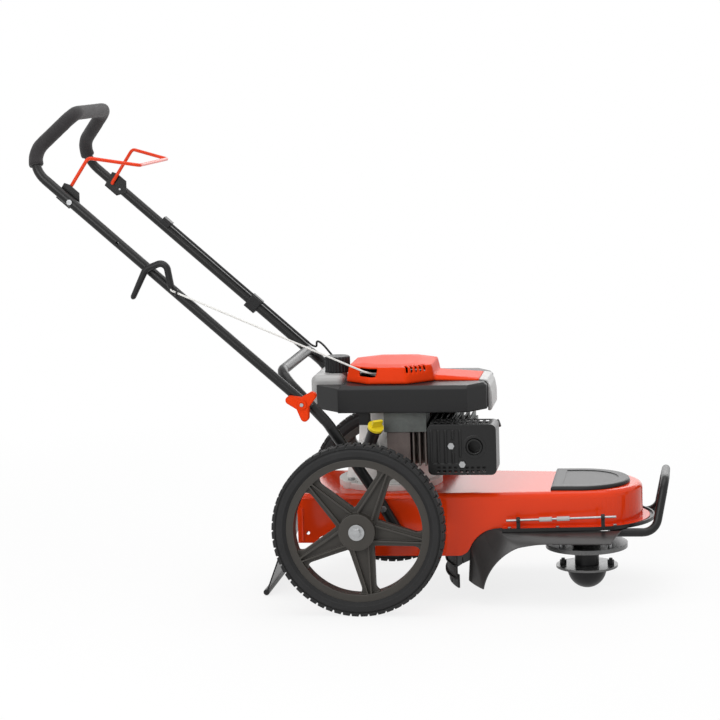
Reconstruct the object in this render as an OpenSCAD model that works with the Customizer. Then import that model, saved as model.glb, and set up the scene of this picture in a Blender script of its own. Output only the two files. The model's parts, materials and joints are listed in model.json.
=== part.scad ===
// Walk-behind string trimmer: two spoked wheels, a pressed deck with a belt-driven cutting head
// at its nose, a vertical-shaft engine over the axle and a folding handle with a safety bail.
// X points forward, Y to the machine's left and Z up. The ground is at zero height.

/* [Wheels] */
// Height of the tyre from its seat to the top of the lugs
tyre_h = 31.5; // [30:0.5:34]
// Tyre width
tyre_w = 48; // [44:1:54]
// Diameter where the tyre seats on the rim
rim_d = 317; // [305:1:323]
// Distance between the mid-planes of the two wheels
track = 530; // [524:2:580]
// Hub diameter
hub_d = 80; // [70:1:90]
// Spokes in each wheel
spokes = 5; // [4:1:6]
// Tread lugs in one row
lugs = 60; // [48:2:66]
// Axle journal diameter
axle_d = 16; // [12:1:20]
// Axle tube diameter between the wheels
axle_tube_d = 24; // [22:1:30]

/* [Deck] */
// Deck width at the wheels
deck_w = 300; // [290:2:306]
// Height of the deck's top
deck_top = 245; // [240:1:250]
// Distance from the axle back to the deck's rear wall
deck_rear = 156; // [150:1:166]
// Distance from the axle forward to the start of the taper
taper_x = 180; // [170:1:190]
// Radius of the deck's round nose
nose_r = 122; // [116:1:126]
// Sheet thickness of the deck
sheet = 2.5; // [2:0.5:3.5]
// Height of the lower edge of the deck's front part
front_low = 166; // [162:1:170]
// Height of the lower edge between the wheels
side_low = 105; // [100:1:112]
// Height of the lower edge at the rear
rear_low = 134; // [128:1:140]
// Round of the deck's top edge
deck_edge_r = 14; // [10:1:18]

/* [Cutting head] */
// Distance from the axle forward to the head's axis
head_x = 482; // [476:1:488]
// Diameter of the disc that carries the line posts
line_disc_d = 140; // [130:1:150]
// Diameter of the fixed guard plate above it
guard_plate_d = 186; // [176:1:196]
// Diameter of the ground ball
ball_d = 88; // [82:1:92]
// Diameter of the head's hub
head_hub_d = 55; // [50:1:60]
// Spindle diameter
spindle_d = 20; // [18:1:22]

/* [Engine] */
// Distance from the axle forward to the crankshaft
crank_x = 38; // [34:1:42]
// Diameter of the engine's base flange
flange_d = 236; // [226:1:244]
// Crankshaft diameter
crank_d = 25; // [22:1:27]
// Width of the blower housing
cowl_w = 280; // [270:2:290]

/* [Handle] */
// Diameter of the upper handle tube
upper_tube_d = 22; // [20:1:24]
// Diameter of the lower handle tube
lower_tube_d = 24; // [22:1:26]
// Wall of both handle tubes
tube_wall = 1.5; // [1.2:0.1:2]
// Distance between the two upper tubes
handle_w = 440; // [436:1:446]
// Slope of the upper handle above the horizontal
handle_slope = 41.8; // [40:0.2:44]
// Distance from the axle back to the fold pivot
pivot_back = 119.5; // [116:0.5:123]
// Height of the fold pivot
pivot_z = 464; // [458:1:470]
// Length of a straight upper tube from the fold pivot to its bend
upper_len = 814; // [790:2:840]
// Width of the grip's cross piece
grip_w = 264; // [244:2:276]
// Outside diameter of the foam grip
foam_d = 32; // [30:1:34]
// Bend radius between the straight tubes and the grip
grip_bend_r = 60; // [54:1:66]
// Diameter of the bail rod
bail_d = 8; // [7:0.5:9]

/* [Hidden] */
$fn = 64;
hull_fn = 32;
edge_steps = 4;

// Shared clearances: a running fit, pieces that stand close, and the overrun of every cut
run_clear = 0.05;
fit_gap = 0.3;
overrun = 5;
// A tube is a little slimmer in its bends, which run a short way into the straight lengths
bend_share = 0.976;
seam_lap = 0.4;
// Slope from which a bar counts as upright
steep_share = 0.9;

// Colours
orange = [0.93, 0.23, 0.06];
black = [0.07, 0.07, 0.07];
satin_black = [0.12, 0.12, 0.12];
wheel_grey = [0.20, 0.19, 0.18];
tyre_black = [0.13, 0.13, 0.13];
zinc = [0.72, 0.73, 0.74];
cast_silver = [0.78, 0.78, 0.77];
pale_grey = [0.70, 0.71, 0.71];
shield_grey = [0.25, 0.24, 0.24];
yellow = [0.95, 0.75, 0.10];

// Wheel details
rim_r = rim_d / 2;
wheel_r = rim_r + tyre_h;
lug_h = 3.5;
lug_gap = 3;
lug_inset = 3;
tyre_shoulder = 9;
bead_share = 0.72;
sidewall_shares = [0.25, 0.6];
lug_shares = [0.03, 0.1, 0.83, 0.9];
spoke_turn = 63;
window_steps = 8;
rim_t = 16;
web_t = 14;
hub_in = 26;
hub_out = 32;
window_gap = 10;
window_round = 15;
window_tip_round = 3;
window_tip_r = 90;
spoke_root_w = 56;
spoke_tip_w = 26;
rib_root_w = 38;
rib_tip_w = 10;
rib_t = 3.5;
rib_h = 17;
washer_d = 35;
washer_t = 3;
wheel_bolt_af = 17;
wheel_bolt_h = 7;

// Deck details
nose_x = head_x + 6;
deck_corner_r = 28;
deck_sweep_r = 70;
low_end_x = 205;
rear_step_x = -60;
rear_step_run = 30;
deck_flange_w = 16;
deck_flange_x = 305;
notch_r = 17;
notch_x = -95;
rear_hole_d = 8.5;
rear_hole_x = -133;
rear_hole_z = 157;
rib_w = 14;
rib_len = 74;
rib_x = -144;
rib_z = 176;
emboss = 2;
bead_z = 233;
bead_h = 3;
crank_hole_d = 64;
front_x = nose_x + nose_r;
sweep_sin = (front_low - side_low) / (deck_corner_r + deck_sweep_r) - 1;
sweep_angle = asin(sweep_sin);
corner_c = [low_end_x, side_low + deck_corner_r];
sweep_c = corner_c + (deck_corner_r + deck_sweep_r) * [cos(sweep_angle), sin(sweep_angle)];

// Nose pad
pad_rear_x = 410;
pad_w = 222;
pad_nose_x = 582;
pad_t = 9;
pad_round = 6;
pad_panel_drop = 1.5;
pad_panel_inset = 26;

// Base plate
plate_t = 4;
plate_grow = 27;
plate_rear_x = -40;
plate_lip_h = 8;
plate_lip_t = 4;
plate_inner_gap = 4;

// Rear guard, wings and flap
guard_r = 314;
guard_t = 4;
guard_in = 8;
guard_half_angle = asin((deck_w / 2 - guard_in) / guard_r);
guard_low = 50;
guard_mid = 78;
guard_bead = 4;
wing_t = 3;
wing_side = 190;
wing_low = 48;
wing_low_x = 226;
wing_front_x = 566;
wing_out_x = 545;
wing_turn_x = 262;
wing_in_shares = [0.03, 0.17, 0.4, 1];
wing_out_shares = [0, 0.3, 1];
wing_steps = 10;
wing_c = [389, 12];
wing_r = 130;
wing_angles = [168, 110];
flap_drop = 20;
flap_t = 4;
flap_gap = 0.5;
flap_cuts = 5;
flap_cut_w = 6;

// Side rod with its sleeves and clips
rod_d = 5;
rod_side = 158;
rod_z0 = 187;
rod_z1 = 196;
rod_x0 = 314;
rod_x1 = 556;
sleeve_d = 10;
sleeve_len = 28;
sleeve_shares = [0.36, 0.52];
clip_w = 8;
clip_shares = [0.11, 0.88];
clip_h = 9;

// Bumper
bumper_d = 19;
bumper_foot_x = 540;
bumper_foot_y = 120;
bumper_foot_z = front_low - plate_t - bumper_d / 2 - fit_gap;
bumper_front_x = 662;
bumper_knee_x = 640;
bumper_knee_y = 118;
bumper_top_y = 78;
bumper_top_z = 262;
bumper_bend_r = 34;

// Rear stand
stand_t = 3;
stand_w = 200;
stand_top_z = 232;
stand_tip_x = -242;
stand_bar_d = 14;
stand_bar_len = 214;
stand_lift = 2;
stand_tab = 26;

// Lower handle
leg_gap = 2;
leg_y = deck_w / 2 + lower_tube_d / 2 + leg_gap;
leg_low = [88, 138];
leg_knee = [18, 262];
leg_shoulder = [-72, 414];
leg_top = [-176, 528];
leg_in = 24;
leg_top_y = handle_w / 2 - leg_in;
leg_bends = [0, 40, 60, 46, 46, 60, 40, 0];
leg_bolt_share = 0.64;

// Upper handle
pivot = [-pivot_back, pivot_z];
slope_dir = [-cos(handle_slope), sin(handle_slope)];
tube_tail = 18;
grip_reach = 94;
grip_rise = 101;
top_bend_r = 50;
pivot_bolt_d = 8;
spare_hole_d = 6.5;
spare_hole_along = 540;
foam_start_share = 0.35;

// Star knobs
knob_arm = 29;
knob_tip_r = 9;
knob_core_r = 15;
knob_t = 16;
knob_lobes = 3;
knob_turn = 40;
knob_cap_d = 22;
knob_cap_h = 5;

// Bail and its brackets
bail_pivot_along = 700;
bail_pivot_lift = 0;
bail_leg_y = 198;
bail_corner = [54, 80];
bail_front = [153, 58];
bail_front_y = 133;
bail_bend_r = 12;
bail_foot_r = 5;
bracket_t = 3;
bracket_corners = [[18, 20], [6, 25], [-22, 25], [-40, 4], [-26, -17], [12, -17]];
screw_along = 678;
screw_d = 5;
screw_head_d = 12;
screw_head_h = 4;

// Starter
rope_d = 4.5;
rope_entry = [6, -102, 511];
rope_start_x = -402;
rope_start_z = 719;
rope_room = 3.2;
rope_in_share = 0.3;
rope_bend_r = 20;
rope_turn_r = 6;
rope_wind_gap = 27;
bow_out = 23;
bow_y = handle_w / 2 + bow_out;
bow_a = [-487, 707];
bow_b = [-457, 767];
bow_c = [-411, 784];
bow_d = [-402, 729];
bow_t = 15;
bow_w = 19;
bow_fn = 16;
eye_d = 12;
eye_wire = 4;
eye_back = 12;

// Cables and their clips
cable_d = 6;
cable_lift = 16;
cable_y = 212;
cable_top_along = 530;
cable_low_along = 96;
clip_box = [30, 30, 34];
clip_along = 258;
anchor_box = [24, 24, 16];
anchor_drop = 8;
cable_knee = [-150, 150, 562];
cable_end = [-60.5, 126, 458];
cable_bend_r = 30;
cable_lead = 24;
cable_turn_r = 14;

// Bolts and the spinning head
bolt_af = 13;
bolt_h = 5;
bearing_d = 42;
bearing_t = 12;
housing_d = 64;
housing_low = 104;
housing_flange_d = 116;
housing_flange_t = 8;
guard_plate_z = 100;
guard_plate_t = 4;
guard_rim_drop = 6;
guard_rim_w = 5;
studs = 4;
stud_d = 8;
stud_r = 78;
ball_flat = 0.5;
hub_low = 53;
line_disc_t = 5;
post_r = 54;
post_d = 8;
post_h = 14;
spindle_low = 30;
spindle_top = 228;

// Belt drive
pulley_z = 206;
pulley_t = 18;
groove_t = 12;
groove_depth = 9;
drive_pulley_d = 76;
spindle_pulley_d = 110;
belt_t = 8;
belt_w = 10;

// Engine block
flange_t = 14;
lug_t = 17;
ear_d = 36;
ear_reach = 108;
ear_angles = [40, 140, 220, 320];
case_r_shares = [0.86, 0.80, 0.60, 0.56];
case_z = [259, 300, 345, 427];
barrel = [[80, -58, 296], [236, 58, 388]];
air_duct = [[40, -108, 378], [136, -40, 427]];
fin_count = 10;
fin_x0 = 103;
fin_pitch = 13.5;
fin_t = 4;
fin_y = [-100, 84];
fin_z = [300, 398];
side_cover = [[46, -104, 300], [98, -50, 377]];
neck_foot = [10, -60, 306];
neck_seat = [8, -124, 352];
neck_boss_d = 40;

// Oil neck and dipstick
neck_top = [26, -147, 394];
neck_d = 28;
neck_collar_d = 34;
neck_collar_t = 6;
dipstick_d = 36;
dipstick_t = 6;
dipstick_wing = [24, 6, 22];
dipstick_rod_d = 8;
dipstick_rod_len = 26;

// Blower housing, recoil cover and cap
cowl_low = 427;
cowl_top = 487;
cowl_t = 3;
cowl_rear_x = -58;
cowl_front_x = 270;
cowl_corner_x = 232;
cowl_corner_y = 88;
cowl_draft = 7;
ear_rear_x = -116;
ear_rear_y = 72;
ear_t = 12;
clutch_hole_d = 130;
cover_c = 52;
cover_len = 200;
cover_half_w = 118;
cover_cut = [56, 50];
cover_round = 12;
cover_z = [492, 520, 535];
cover_shares = [1, 0.94, 0.62];
cover_t = 3;
pin_d = 14;
tongue_x = 252;
tongue_w = 128;
tongue_top = 498;
tongue_shares = [[1, 0.4], [0.8, 1]];
rope_window = [44, 40, 16.5];
rope_window_turn = -44;
vent_count = 5;
vent_turn = -68;
vent_pitch = 6;
vent_w = 4;
vent_len = 24;
cap_w = 124;
cap_t = 10;
cap_low = 418;
cap_curve = [[268, 490], [276.5, 473], [280, 452], [280, 423], [276, 418]];
duct_leg = [[-14, -122, 397], [10, -104, 430]];

// Fuel tank and cap
tank_rear_x = -132;
tank_y = [-58, 112];
tank_z = [430, 500];
tank_round = 14;
tank_cap_c = [-79, 6];
tank_neck_d = 44;
tank_neck_h = 12;
fuel_cap_d = 58;
fuel_cap_h = 36;
fuel_cap_ribs = 24;
fuel_cap_rib = 2;

// Muffler and its guard
guard_box = [[148, -195, 297], [299, -117, 409]];
guard_box_t = 2;
guard_box_r = 12;
muffler_gap = 8;
outlet_c = [251, 360];
outlet_d = 34;
outlet_bore_d = 28;
outlet_out = 4;
outlet_gap = 2;
stub_c = [190, 350];
louvre_count = 4;
louvre_w = 8;
louvre_pitch = 16;
louvre_depth = 1.2;
louvre_x = 160;
louvre_z = [322, 398];
collar_w = 6;
front_hole = [7, 5];
front_hole_z = [303, 311];
front_hole_x = 168;
front_holes = 9;
front_hole_pitch = 12.5;
edge_slot = [8, 24];
edge_slots = 9;
edge_slot_pitch = 14;
edge_slot_shares = [0.15, 0.6];
guard_bolt_places = [[200, 362], [224, 321]];

// Air cleaner and spark plug
air_box = [[62, 84, 322], [188, 166, 424]];
air_round = 10;
air_rib_count = 5;
air_rib = 3;
plug_y = -30;
plug_z = 368;
plug_c = [barrel[1].x, plug_y, plug_z];
plug_d = 14;
plug_len = 22;
boot_d = 18;
boot_len = 46;
boot_rise = 17;

// Crank, flywheel and recoil pulley
crank_low = 192;
crank_top = 452;
flywheel_d = 176;
flywheel_z = 434;
flywheel_t = 10;
flywheel_fins = 16;
flywheel_fin_h = 22;
flywheel_fin_t = 2;
flywheel_fin_share = 0.23;
recoil_pulley_d = 96;
recoil_pulley_t = 14;
recoil_pulley_z = 490;

// The rearmost point of the grip and the foremost point of the bumper put the origin midway
handle_dir = [slope_dir.x, 0, slope_dir.y];
grip_corner = [pivot.x, -handle_w / 2, pivot.y] + upper_len * handle_dir;
grip_top = [grip_corner.x + grip_reach, -grip_w / 2, grip_corner.z + grip_rise];
grip_dir = unit(grip_top - grip_corner);
corner_in = corner_normal(handle_dir, grip_dir);
corner_hub = grip_corner + corner_in * grip_bend_r
    - handle_dir * trim_length(handle_dir, grip_dir, grip_bend_r);
rear_swing = norm([corner_in.x, handle_dir.x]);
rear_reach = corner_hub.x - grip_bend_r * rear_swing - foam_d * bend_share / 2;
front_reach = bumper_front_x + bumper_d / 2;
origin_x = (rear_reach + front_reach) / 2;

// Small vector helpers
function unit(v) = v / norm(v);
function polar(a) = [cos(a), sin(a)];
function flip(p) = [p.x, -p.y, p.z];
function mid(a, b, share) = a + (b - a) * share;
function turn_angle(u, v) = acos(u * v);
function corner_normal(u, v) = unit(v - u * (u * v));
function trim_length(u, v, r) = r * tan(turn_angle(u, v) / 2);
function arc(c, r, a0, a1, n) = [for (i = [0:n]) c + r * polar(mid(a0, a1, i / n))];
function on_handle(along, lift) =
    [pivot.x, 0, pivot.y] + along * handle_dir + lift * [handle_dir.z, 0, -handle_dir.x];
function reversed(list) = [for (i = [len(list) - 1:-1:0]) list[i]];

// Everything is drawn about the axle and then moved to the origin
module machine() translate([-origin_x, 0, 0]) children();
module left_side() mirror([0, 1, 0]) children();
module both_sides() {
    children();
    mirror([0, 1, 0]) children();
}

// A frame set by three axes
module place(at, ex, ey, ez)
    multmatrix([[ex.x, ey.x, ez.x, at.x], [ex.y, ey.y, ez.y, at.y], [ex.z, ey.z, ez.z, at.z], [0, 0, 0, 1]])
        children();
// A frame whose Z runs from p towards q
module aim(p, q) {
    w = unit(q - p);
    side = abs(w.z) < steep_share ? [0, 0, 1] : [1, 0, 0];
    ex = unit(cross(side, w));
    place(p, ex, cross(w, ex), w) children();
}
module bar(p, q, d) aim(p, q) cylinder(d = d, h = norm(q - p));
// A round bend at corner p, from direction u to direction v
module bend(p, u, v, r, d, from_share = 0) {
    turn = turn_angle(u, v);
    lap = seam_lap / r * 180 / PI;
    n = corner_normal(u, v);
    place(p - u * trim_length(u, v, r) + n * r, -n, u, cross(u, n))
        rotate([0, 0, turn * from_share - lap])
            rotate_extrude(angle = turn * (1 - from_share) + 2 * lap)
                translate([r, 0]) circle(d = d * bend_share);
}
// A bar with round bends: pts are its corners, r its bend radii
module bent_bar(pts, r, d) {
    n = len(pts) - 1;
    dirs = [for (i = [0:n - 1]) unit(pts[i + 1] - pts[i])];
    trims = [for (i = [0:n]) i == 0 || i == n ? 0 : trim_length(dirs[i - 1], dirs[i], r[i])];
    for (i = [0:n - 1]) bar(pts[i] + dirs[i] * trims[i], pts[i + 1] - dirs[i] * trims[i + 1], d);
    for (i = [1:n - 1]) bend(pts[i], dirs[i - 1], dirs[i], r[i], d);
}
module bent_tube(pts, r, d, wall) {
    n = len(pts) - 1;
    first = pts[0] + overrun * unit(pts[0] - pts[1]);
    last = pts[n] + overrun * unit(pts[n] - pts[n - 1]);
    longer = [for (i = [0:n]) i == 0 ? first : i == n ? last : pts[i]];
    difference() {
        bent_bar(pts, r, d);
        bent_bar(longer, r, d - 2 * wall);
    }
}
module rod_y(d, len) rotate([90, 0, 0]) cylinder(d = d, h = len, center = true);
// A side-view outline pulled out along Y
module across(w) rotate([90, 0, 0]) linear_extrude(height = w, center = true) children();
module corner_box(c) translate(c[0]) cube(c[1] - c[0]);
module hex_head(af, h) cylinder(d = af / cos(30), h = h, $fn = 6);
// A box with its upright edges and its top rounded
module soft_box(c, r) hull()
    for (x = [c[0].x + r, c[1].x - r], y = [c[0].y + r, c[1].y - r]) {
        translate([x, y, c[0].z]) cylinder(r = r, h = c[1].z - c[0].z - r, $fn = hull_fn);
        translate([x, y, c[1].z - r]) sphere(r = r, $fn = hull_fn);
    }
// Steps of a rounded top edge: how far in and how far down each one lies
function edge_inset(r, i) = r * (1 - cos(90 * i / edge_steps));
function edge_drop(r, i) = r * (1 - sin(90 * i / edge_steps));

// Wheels
module on_wheel() translate([0, -track / 2, wheel_r]) rotate([90, 0, 0]) children();
function lug_ring(n, root, tip) = [
    for (i = [0:n - 1]) for (k = [0:3])
        (k == 0 || k == 3 ? root : tip) * polar(360 * (i + lug_shares[k]) / n)
];
module tyre_body() {
    half = tyre_w / 2;
    bead = half * bead_share;
    carcass = wheel_r - lug_h;
    row_w = half - lug_inset - lug_gap / 2;
    profile = [
        [rim_r, bead], [mid(rim_r, wheel_r, sidewall_shares[0]), half],
        [mid(rim_r, wheel_r, sidewall_shares[1]), half], [carcass, half - tyre_shoulder]
    ];
    rotate_extrude() polygon(concat(profile, reversed([for (p = profile) [p.x, -p.y]])));
    for (s = [0, 1])
        mirror([0, 0, s]) rotate([0, 0, s * 180 / lugs]) translate([0, 0, lug_gap / 2])
            difference() {
                linear_extrude(height = row_w) polygon(lug_ring(lugs, carcass - lug_h / 2, wheel_r));
                translate([0, 0, -overrun]) cylinder(r = carcass - lug_h, h = row_w + 2 * overrun);
            }
}
// A flat outline with its outer corners rounded
module softened(r) offset(r = r, $fn = hull_fn) offset(delta = -r) children();
// A spoke window is round at the rim and nearly sharp at the hub
module wheel_window() {
    r1 = hub_d / 2 + window_gap;
    r2 = rim_r - rim_t + rib_t;
    a1 = asin(spoke_root_w / 2 / r1);
    a2 = asin(spoke_tip_w / 2 / r2);
    step = 360 / spokes;
    outline = concat(
        [r1 * polar(a1)],
        arc([0, 0], r2, a2, step - a2, window_steps),
        [r1 * polar(step - a1)]
    );
    softened(window_round) polygon(outline);
    intersection() {
        offset(delta = -fit_gap) softened(window_tip_round) polygon(outline);
        circle(r = window_tip_r);
    }
}
module spoke_rib() {
    r1 = hub_d / 2 - rib_t;
    r2 = rim_r - rim_t + rib_t;
    linear_extrude(height = rib_h) difference() {
        polygon([[r1, -rib_root_w / 2], [r2, -rib_tip_w / 2], [r2, rib_tip_w / 2], [r1, rib_root_w / 2]]);
        polygon([
            [r1 - rib_t, -rib_root_w / 2 + rib_t], [r2 + rib_t, -rib_tip_w / 2 + rib_t],
            [r2 + rib_t, rib_tip_w / 2 - rib_t], [r1 - rib_t, rib_root_w / 2 - rib_t]
        ]);
    }
}
module wheel_body() {
    rim_w = tyre_w * bead_share;
    difference() {
        union() {
            difference() {
                translate([0, 0, -rim_w / 2]) cylinder(r = rim_r - run_clear, h = rim_w);
                translate([0, 0, -rim_w / 2 - overrun])
                    cylinder(r = rim_r - rim_t, h = rim_w + 2 * overrun);
            }
            linear_extrude(height = web_t, center = true) difference() {
                circle(r = rim_r - rim_t / 2);
                for (i = [0:spokes - 1]) rotate([0, 0, spoke_turn + i * 360 / spokes]) wheel_window();
            }
            for (i = [0:spokes - 1]) rotate([0, 0, spoke_turn + i * 360 / spokes]) spoke_rib();
            translate([0, 0, -hub_in]) cylinder(d = hub_d, h = hub_in + hub_out);
        }
        translate([0, 0, -hub_in - overrun])
            cylinder(d = axle_d + 2 * run_clear, h = hub_in + hub_out + 2 * overrun);
    }
}
module tyre_right() color(tyre_black) on_wheel() tyre_body();
module tyre_left() color(tyre_black) left_side() on_wheel() tyre_body();
module wheel_right() color(wheel_grey) on_wheel() wheel_body();
module wheel_left() color(wheel_grey) left_side() on_wheel() wheel_body();
module axle() color(zinc) translate([0, 0, wheel_r]) {
    rod_y(axle_tube_d, track - 2 * hub_in - 2 * fit_gap);
    rod_y(axle_d, track + 2 * hub_out + 2 * fit_gap);
}
module wheel_bolts() color(zinc) both_sides() on_wheel() translate([0, 0, hub_out + fit_gap]) {
    cylinder(d = washer_d, h = washer_t);
    translate([0, 0, washer_t]) hex_head(wheel_bolt_af, wheel_bolt_h);
}

// Deck
module deck_outline(grow) {
    w = deck_w / 2 + grow;
    polygon([
        [-deck_rear - grow, -w], [taper_x, -w], [nose_x, -nose_r - grow],
        [nose_x, nose_r + grow], [taper_x, w], [-deck_rear - grow, w]
    ]);
    translate([nose_x, 0]) circle(r = nose_r + grow);
}
module deck_block(inset, top, low) hull() for (i = [0:edge_steps])
    translate([0, 0, low]) linear_extrude(height = top - low - edge_drop(deck_edge_r, i))
        deck_outline(-inset - edge_inset(deck_edge_r, i));
deck_lower_edge = concat(
    [[-deck_rear - overrun, rear_low], [rear_step_x, rear_low], [rear_step_x + rear_step_run, side_low]],
    arc(corner_c, deck_corner_r, -90, sweep_angle, 6),
    arc(sweep_c, deck_sweep_r, 180 + sweep_angle, 90, 8),
    [[front_x + plate_grow, front_low]]
);
module deck() color(orange) {
    difference() {
        union() {
            difference() {
                deck_block(0, deck_top, side_low);
                deck_block(sheet, deck_top - sheet, side_low - overrun);
            }
            both_sides() {
                // upright stiffening rib and long bead pressed into each side wall
                translate([rib_x, -deck_w / 2, rib_z - rib_len / 2]) cylinder(r = emboss, h = rib_len);
                translate([-deck_rear + rib_w, -deck_w / 2 - emboss / 2, bead_z])
                    cube([deck_rear + taper_x - 2 * rib_w, emboss, bead_h]);
            }
            // turned-out flange round the nose
            translate([0, 0, front_low]) linear_extrude(height = sheet) difference() {
                intersection() {
                    deck_outline(deck_flange_w);
                    translate([deck_flange_x, -deck_w]) square([front_x, 2 * deck_w]);
                }
                deck_outline(-sheet);
            }
        }
        across(2 * deck_w) polygon(concat(
            deck_lower_edge, [[front_x + plate_grow, -overrun], [-deck_rear - overrun, -overrun]]
        ));
        translate([notch_x, 0, rear_low]) rod_y(2 * notch_r, 2 * deck_w);
        translate([rear_hole_x, 0, rear_hole_z]) rod_y(rear_hole_d, 2 * deck_w);
        translate([0, 0, wheel_r]) rod_y(axle_tube_d + 2 * fit_gap, 2 * deck_w);
        translate([leg_bolt.x, 0, leg_bolt.y]) rod_y(pivot_bolt_d + 2 * run_clear, 2 * deck_w);
        translate([crank_x, 0, deck_top - sheet - overrun])
            cylinder(d = crank_hole_d, h = sheet + 2 * overrun);
    }
}
module pad_outline(inset) intersection() {
    r = pad_w / 2 - inset;
    c = pad_nose_x - pad_w / 2;
    union() {
        translate([c, 0]) circle(r = r);
        translate([pad_rear_x, -r]) square([c - pad_rear_x, 2 * r]);
    }
    translate([pad_rear_x + inset, -pad_w]) square(2 * pad_w);
}
module nose_pad() color(black) translate([0, 0, deck_top]) difference() {
    hull() for (i = [0:edge_steps])
        linear_extrude(height = pad_t - edge_drop(pad_round, i)) pad_outline(edge_inset(pad_round, i));
    translate([0, 0, pad_t - pad_panel_drop]) linear_extrude(height = pad_t) pad_outline(pad_panel_inset);
}
module plate_outline(grow) {
    intersection() {
        deck_outline(grow);
        translate([deck_flange_x, -deck_w]) square([front_x, 2 * deck_w]);
    }
}
module base_plate() color(black) translate([0, 0, front_low - plate_t]) difference() {
    inner_w = deck_w - 2 * sheet - 2 * plate_inner_gap;
    union() {
        linear_extrude(height = plate_t) {
            plate_outline(plate_grow);
            translate([plate_rear_x, -inner_w / 2]) square([taper_x - plate_rear_x, inner_w]);
            polygon([
                [taper_x, -inner_w / 2], [deck_flange_x + overrun, -nose_r],
                [deck_flange_x + overrun, nose_r], [taper_x, inner_w / 2]
            ]);
        }
        linear_extrude(height = plate_lip_h) difference() {
            plate_outline(plate_grow);
            deck_outline(plate_grow - plate_lip_t);
        }
    }
    translate([head_x, 0, -overrun]) cylinder(d = housing_d + 2 * fit_gap, h = plate_t + 2 * overrun);
}

// Rear guard, side wings and rubber flap
module guard_arc(r, t, low, high) translate([head_x, 0, low])
    rotate([0, 0, 180 - guard_half_angle]) rotate_extrude(angle = 2 * guard_half_angle)
        translate([r, 0]) square([t, high - low]);
module rear_guard() color(shield_grey) {
    guard_arc(guard_r, guard_t, guard_low, front_low - plate_t);
    for (z = [guard_low, guard_mid]) guard_arc(guard_r, guard_t + guard_bead, z, z + guard_bead);
}
module guard_flap() color(black) difference() {
    guard_arc(guard_r - flap_t - flap_gap, flap_t, guard_low - flap_drop, guard_low + flap_drop / 2);
    for (i = [1:flap_cuts])
        translate([head_x, 0, 0]) rotate([0, 0, 180 + guard_half_angle * (2 * i / (flap_cuts + 1) - 1)])
            translate([0, -flap_cut_w / 2, 0]) cube([2 * guard_r, flap_cut_w, guard_low - flap_t]);
}
// The wing is a flared lip: its inner edge follows the deck's lower edge, its outer edge a wider curve
wing_top = front_low - plate_t - fit_gap;
wing_in_path = concat(
    [[wing_low_x, wing_low]],
    arc(sweep_c, deck_sweep_r + fit_gap, 180 + sweep_angle, 90, wing_steps),
    [for (s = wing_in_shares) [mid(sweep_c.x, wing_front_x, s), wing_top]]
);
wing_out_path = concat(
    arc(wing_c, wing_r, wing_angles[0], wing_angles[1], wing_steps + 2),
    [for (s = wing_out_shares) [mid(wing_c.x, wing_out_x, s), wing_c.y + wing_r]]
);
function deck_half(x) = mid(deck_w / 2, nose_r, min(1, max(0, (x - taper_x) / (nose_x - taper_x))));
function wing_y(x) = -deck_half(x) + wing_t
    - plate_grow * min(1, max(0, (x - wing_turn_x) / (deck_flange_x - wing_turn_x)));
wing_inner = [for (p = wing_in_path) [p.x, wing_y(p.x), p.y]];
wing_outer = [for (p = wing_out_path) [p.x, -wing_side, p.y]];
module side_wings() color(shield_grey) {
    n = len(wing_inner);
    below = [0, 0, wing_t];
    right = concat(
        wing_inner, wing_outer, [for (p = wing_outer) p - below], [for (p = wing_inner) p - below]
    );
    tris = [for (i = [0:n - 2], k = [0:3]) let (a = i + k * n, b = i + (k + 1) % 4 * n)
        each [[a, b + 1, b], [a, a + 1, b + 1]]];
    ends = [[0, n, 2 * n, 3 * n], [4 * n - 1, 3 * n - 1, 2 * n - 1, n - 1]];
    faces = concat(ends, tris);
    left_faces = [for (f = faces) [for (i = reversed(f)) i + len(right)]];
    polyhedron(
        points = concat(right, [for (p = right) flip(p)]), faces = concat(faces, left_faces)
    );
}

// Rod with two sleeves on the right side of the deck
rod_ends = [[rod_x0, -rod_side, rod_z0], [rod_x1, -rod_side, rod_z1]];
function on_rod(share) = mid(rod_ends[0], rod_ends[1], share);
module along_rod(share) aim(on_rod(share), rod_ends[1]) children();
module side_rod() color(zinc) bar(rod_ends[0], rod_ends[1], rod_d);
module rod_sleeves() color(pale_grey) for (s = sleeve_shares) along_rod(s) difference() {
    cylinder(d = sleeve_d, h = sleeve_len, center = true);
    cylinder(d = rod_d + 2 * run_clear, h = sleeve_len + overrun, center = true);
}
module rod_clips() color(black) for (s = clip_shares) difference() {
    at = on_rod(s);
    low = front_low - plate_t + plate_lip_h;
    reach = -at.y - deck_half(at.x) - plate_grow / 2;
    union() {
        along_rod(s) cylinder(d = rod_d + clip_h, h = clip_w, center = true);
        translate([at.x - clip_w / 2, at.y - clip_h / 2, low]) cube([clip_w, clip_h, at.z - low]);
        translate([at.x - clip_w / 2, at.y, low]) cube([clip_w, reach, sheet]);
    }
    bar(rod_ends[0], rod_ends[1], rod_d + 2 * run_clear);
}

// Bumper
bumper_path = [
    [bumper_foot_x, -bumper_foot_y, bumper_foot_z], [bumper_knee_x, -bumper_knee_y, bumper_foot_z],
    [bumper_front_x, -bumper_top_y, bumper_top_z], [bumper_front_x, bumper_top_y, bumper_top_z],
    [bumper_knee_x, bumper_knee_y, bumper_foot_z], [bumper_foot_x, bumper_foot_y, bumper_foot_z]
];
module bumper() color(satin_black)
    bent_tube(bumper_path, [for (p = bumper_path) bumper_bend_r], bumper_d, tube_wall);

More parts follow.
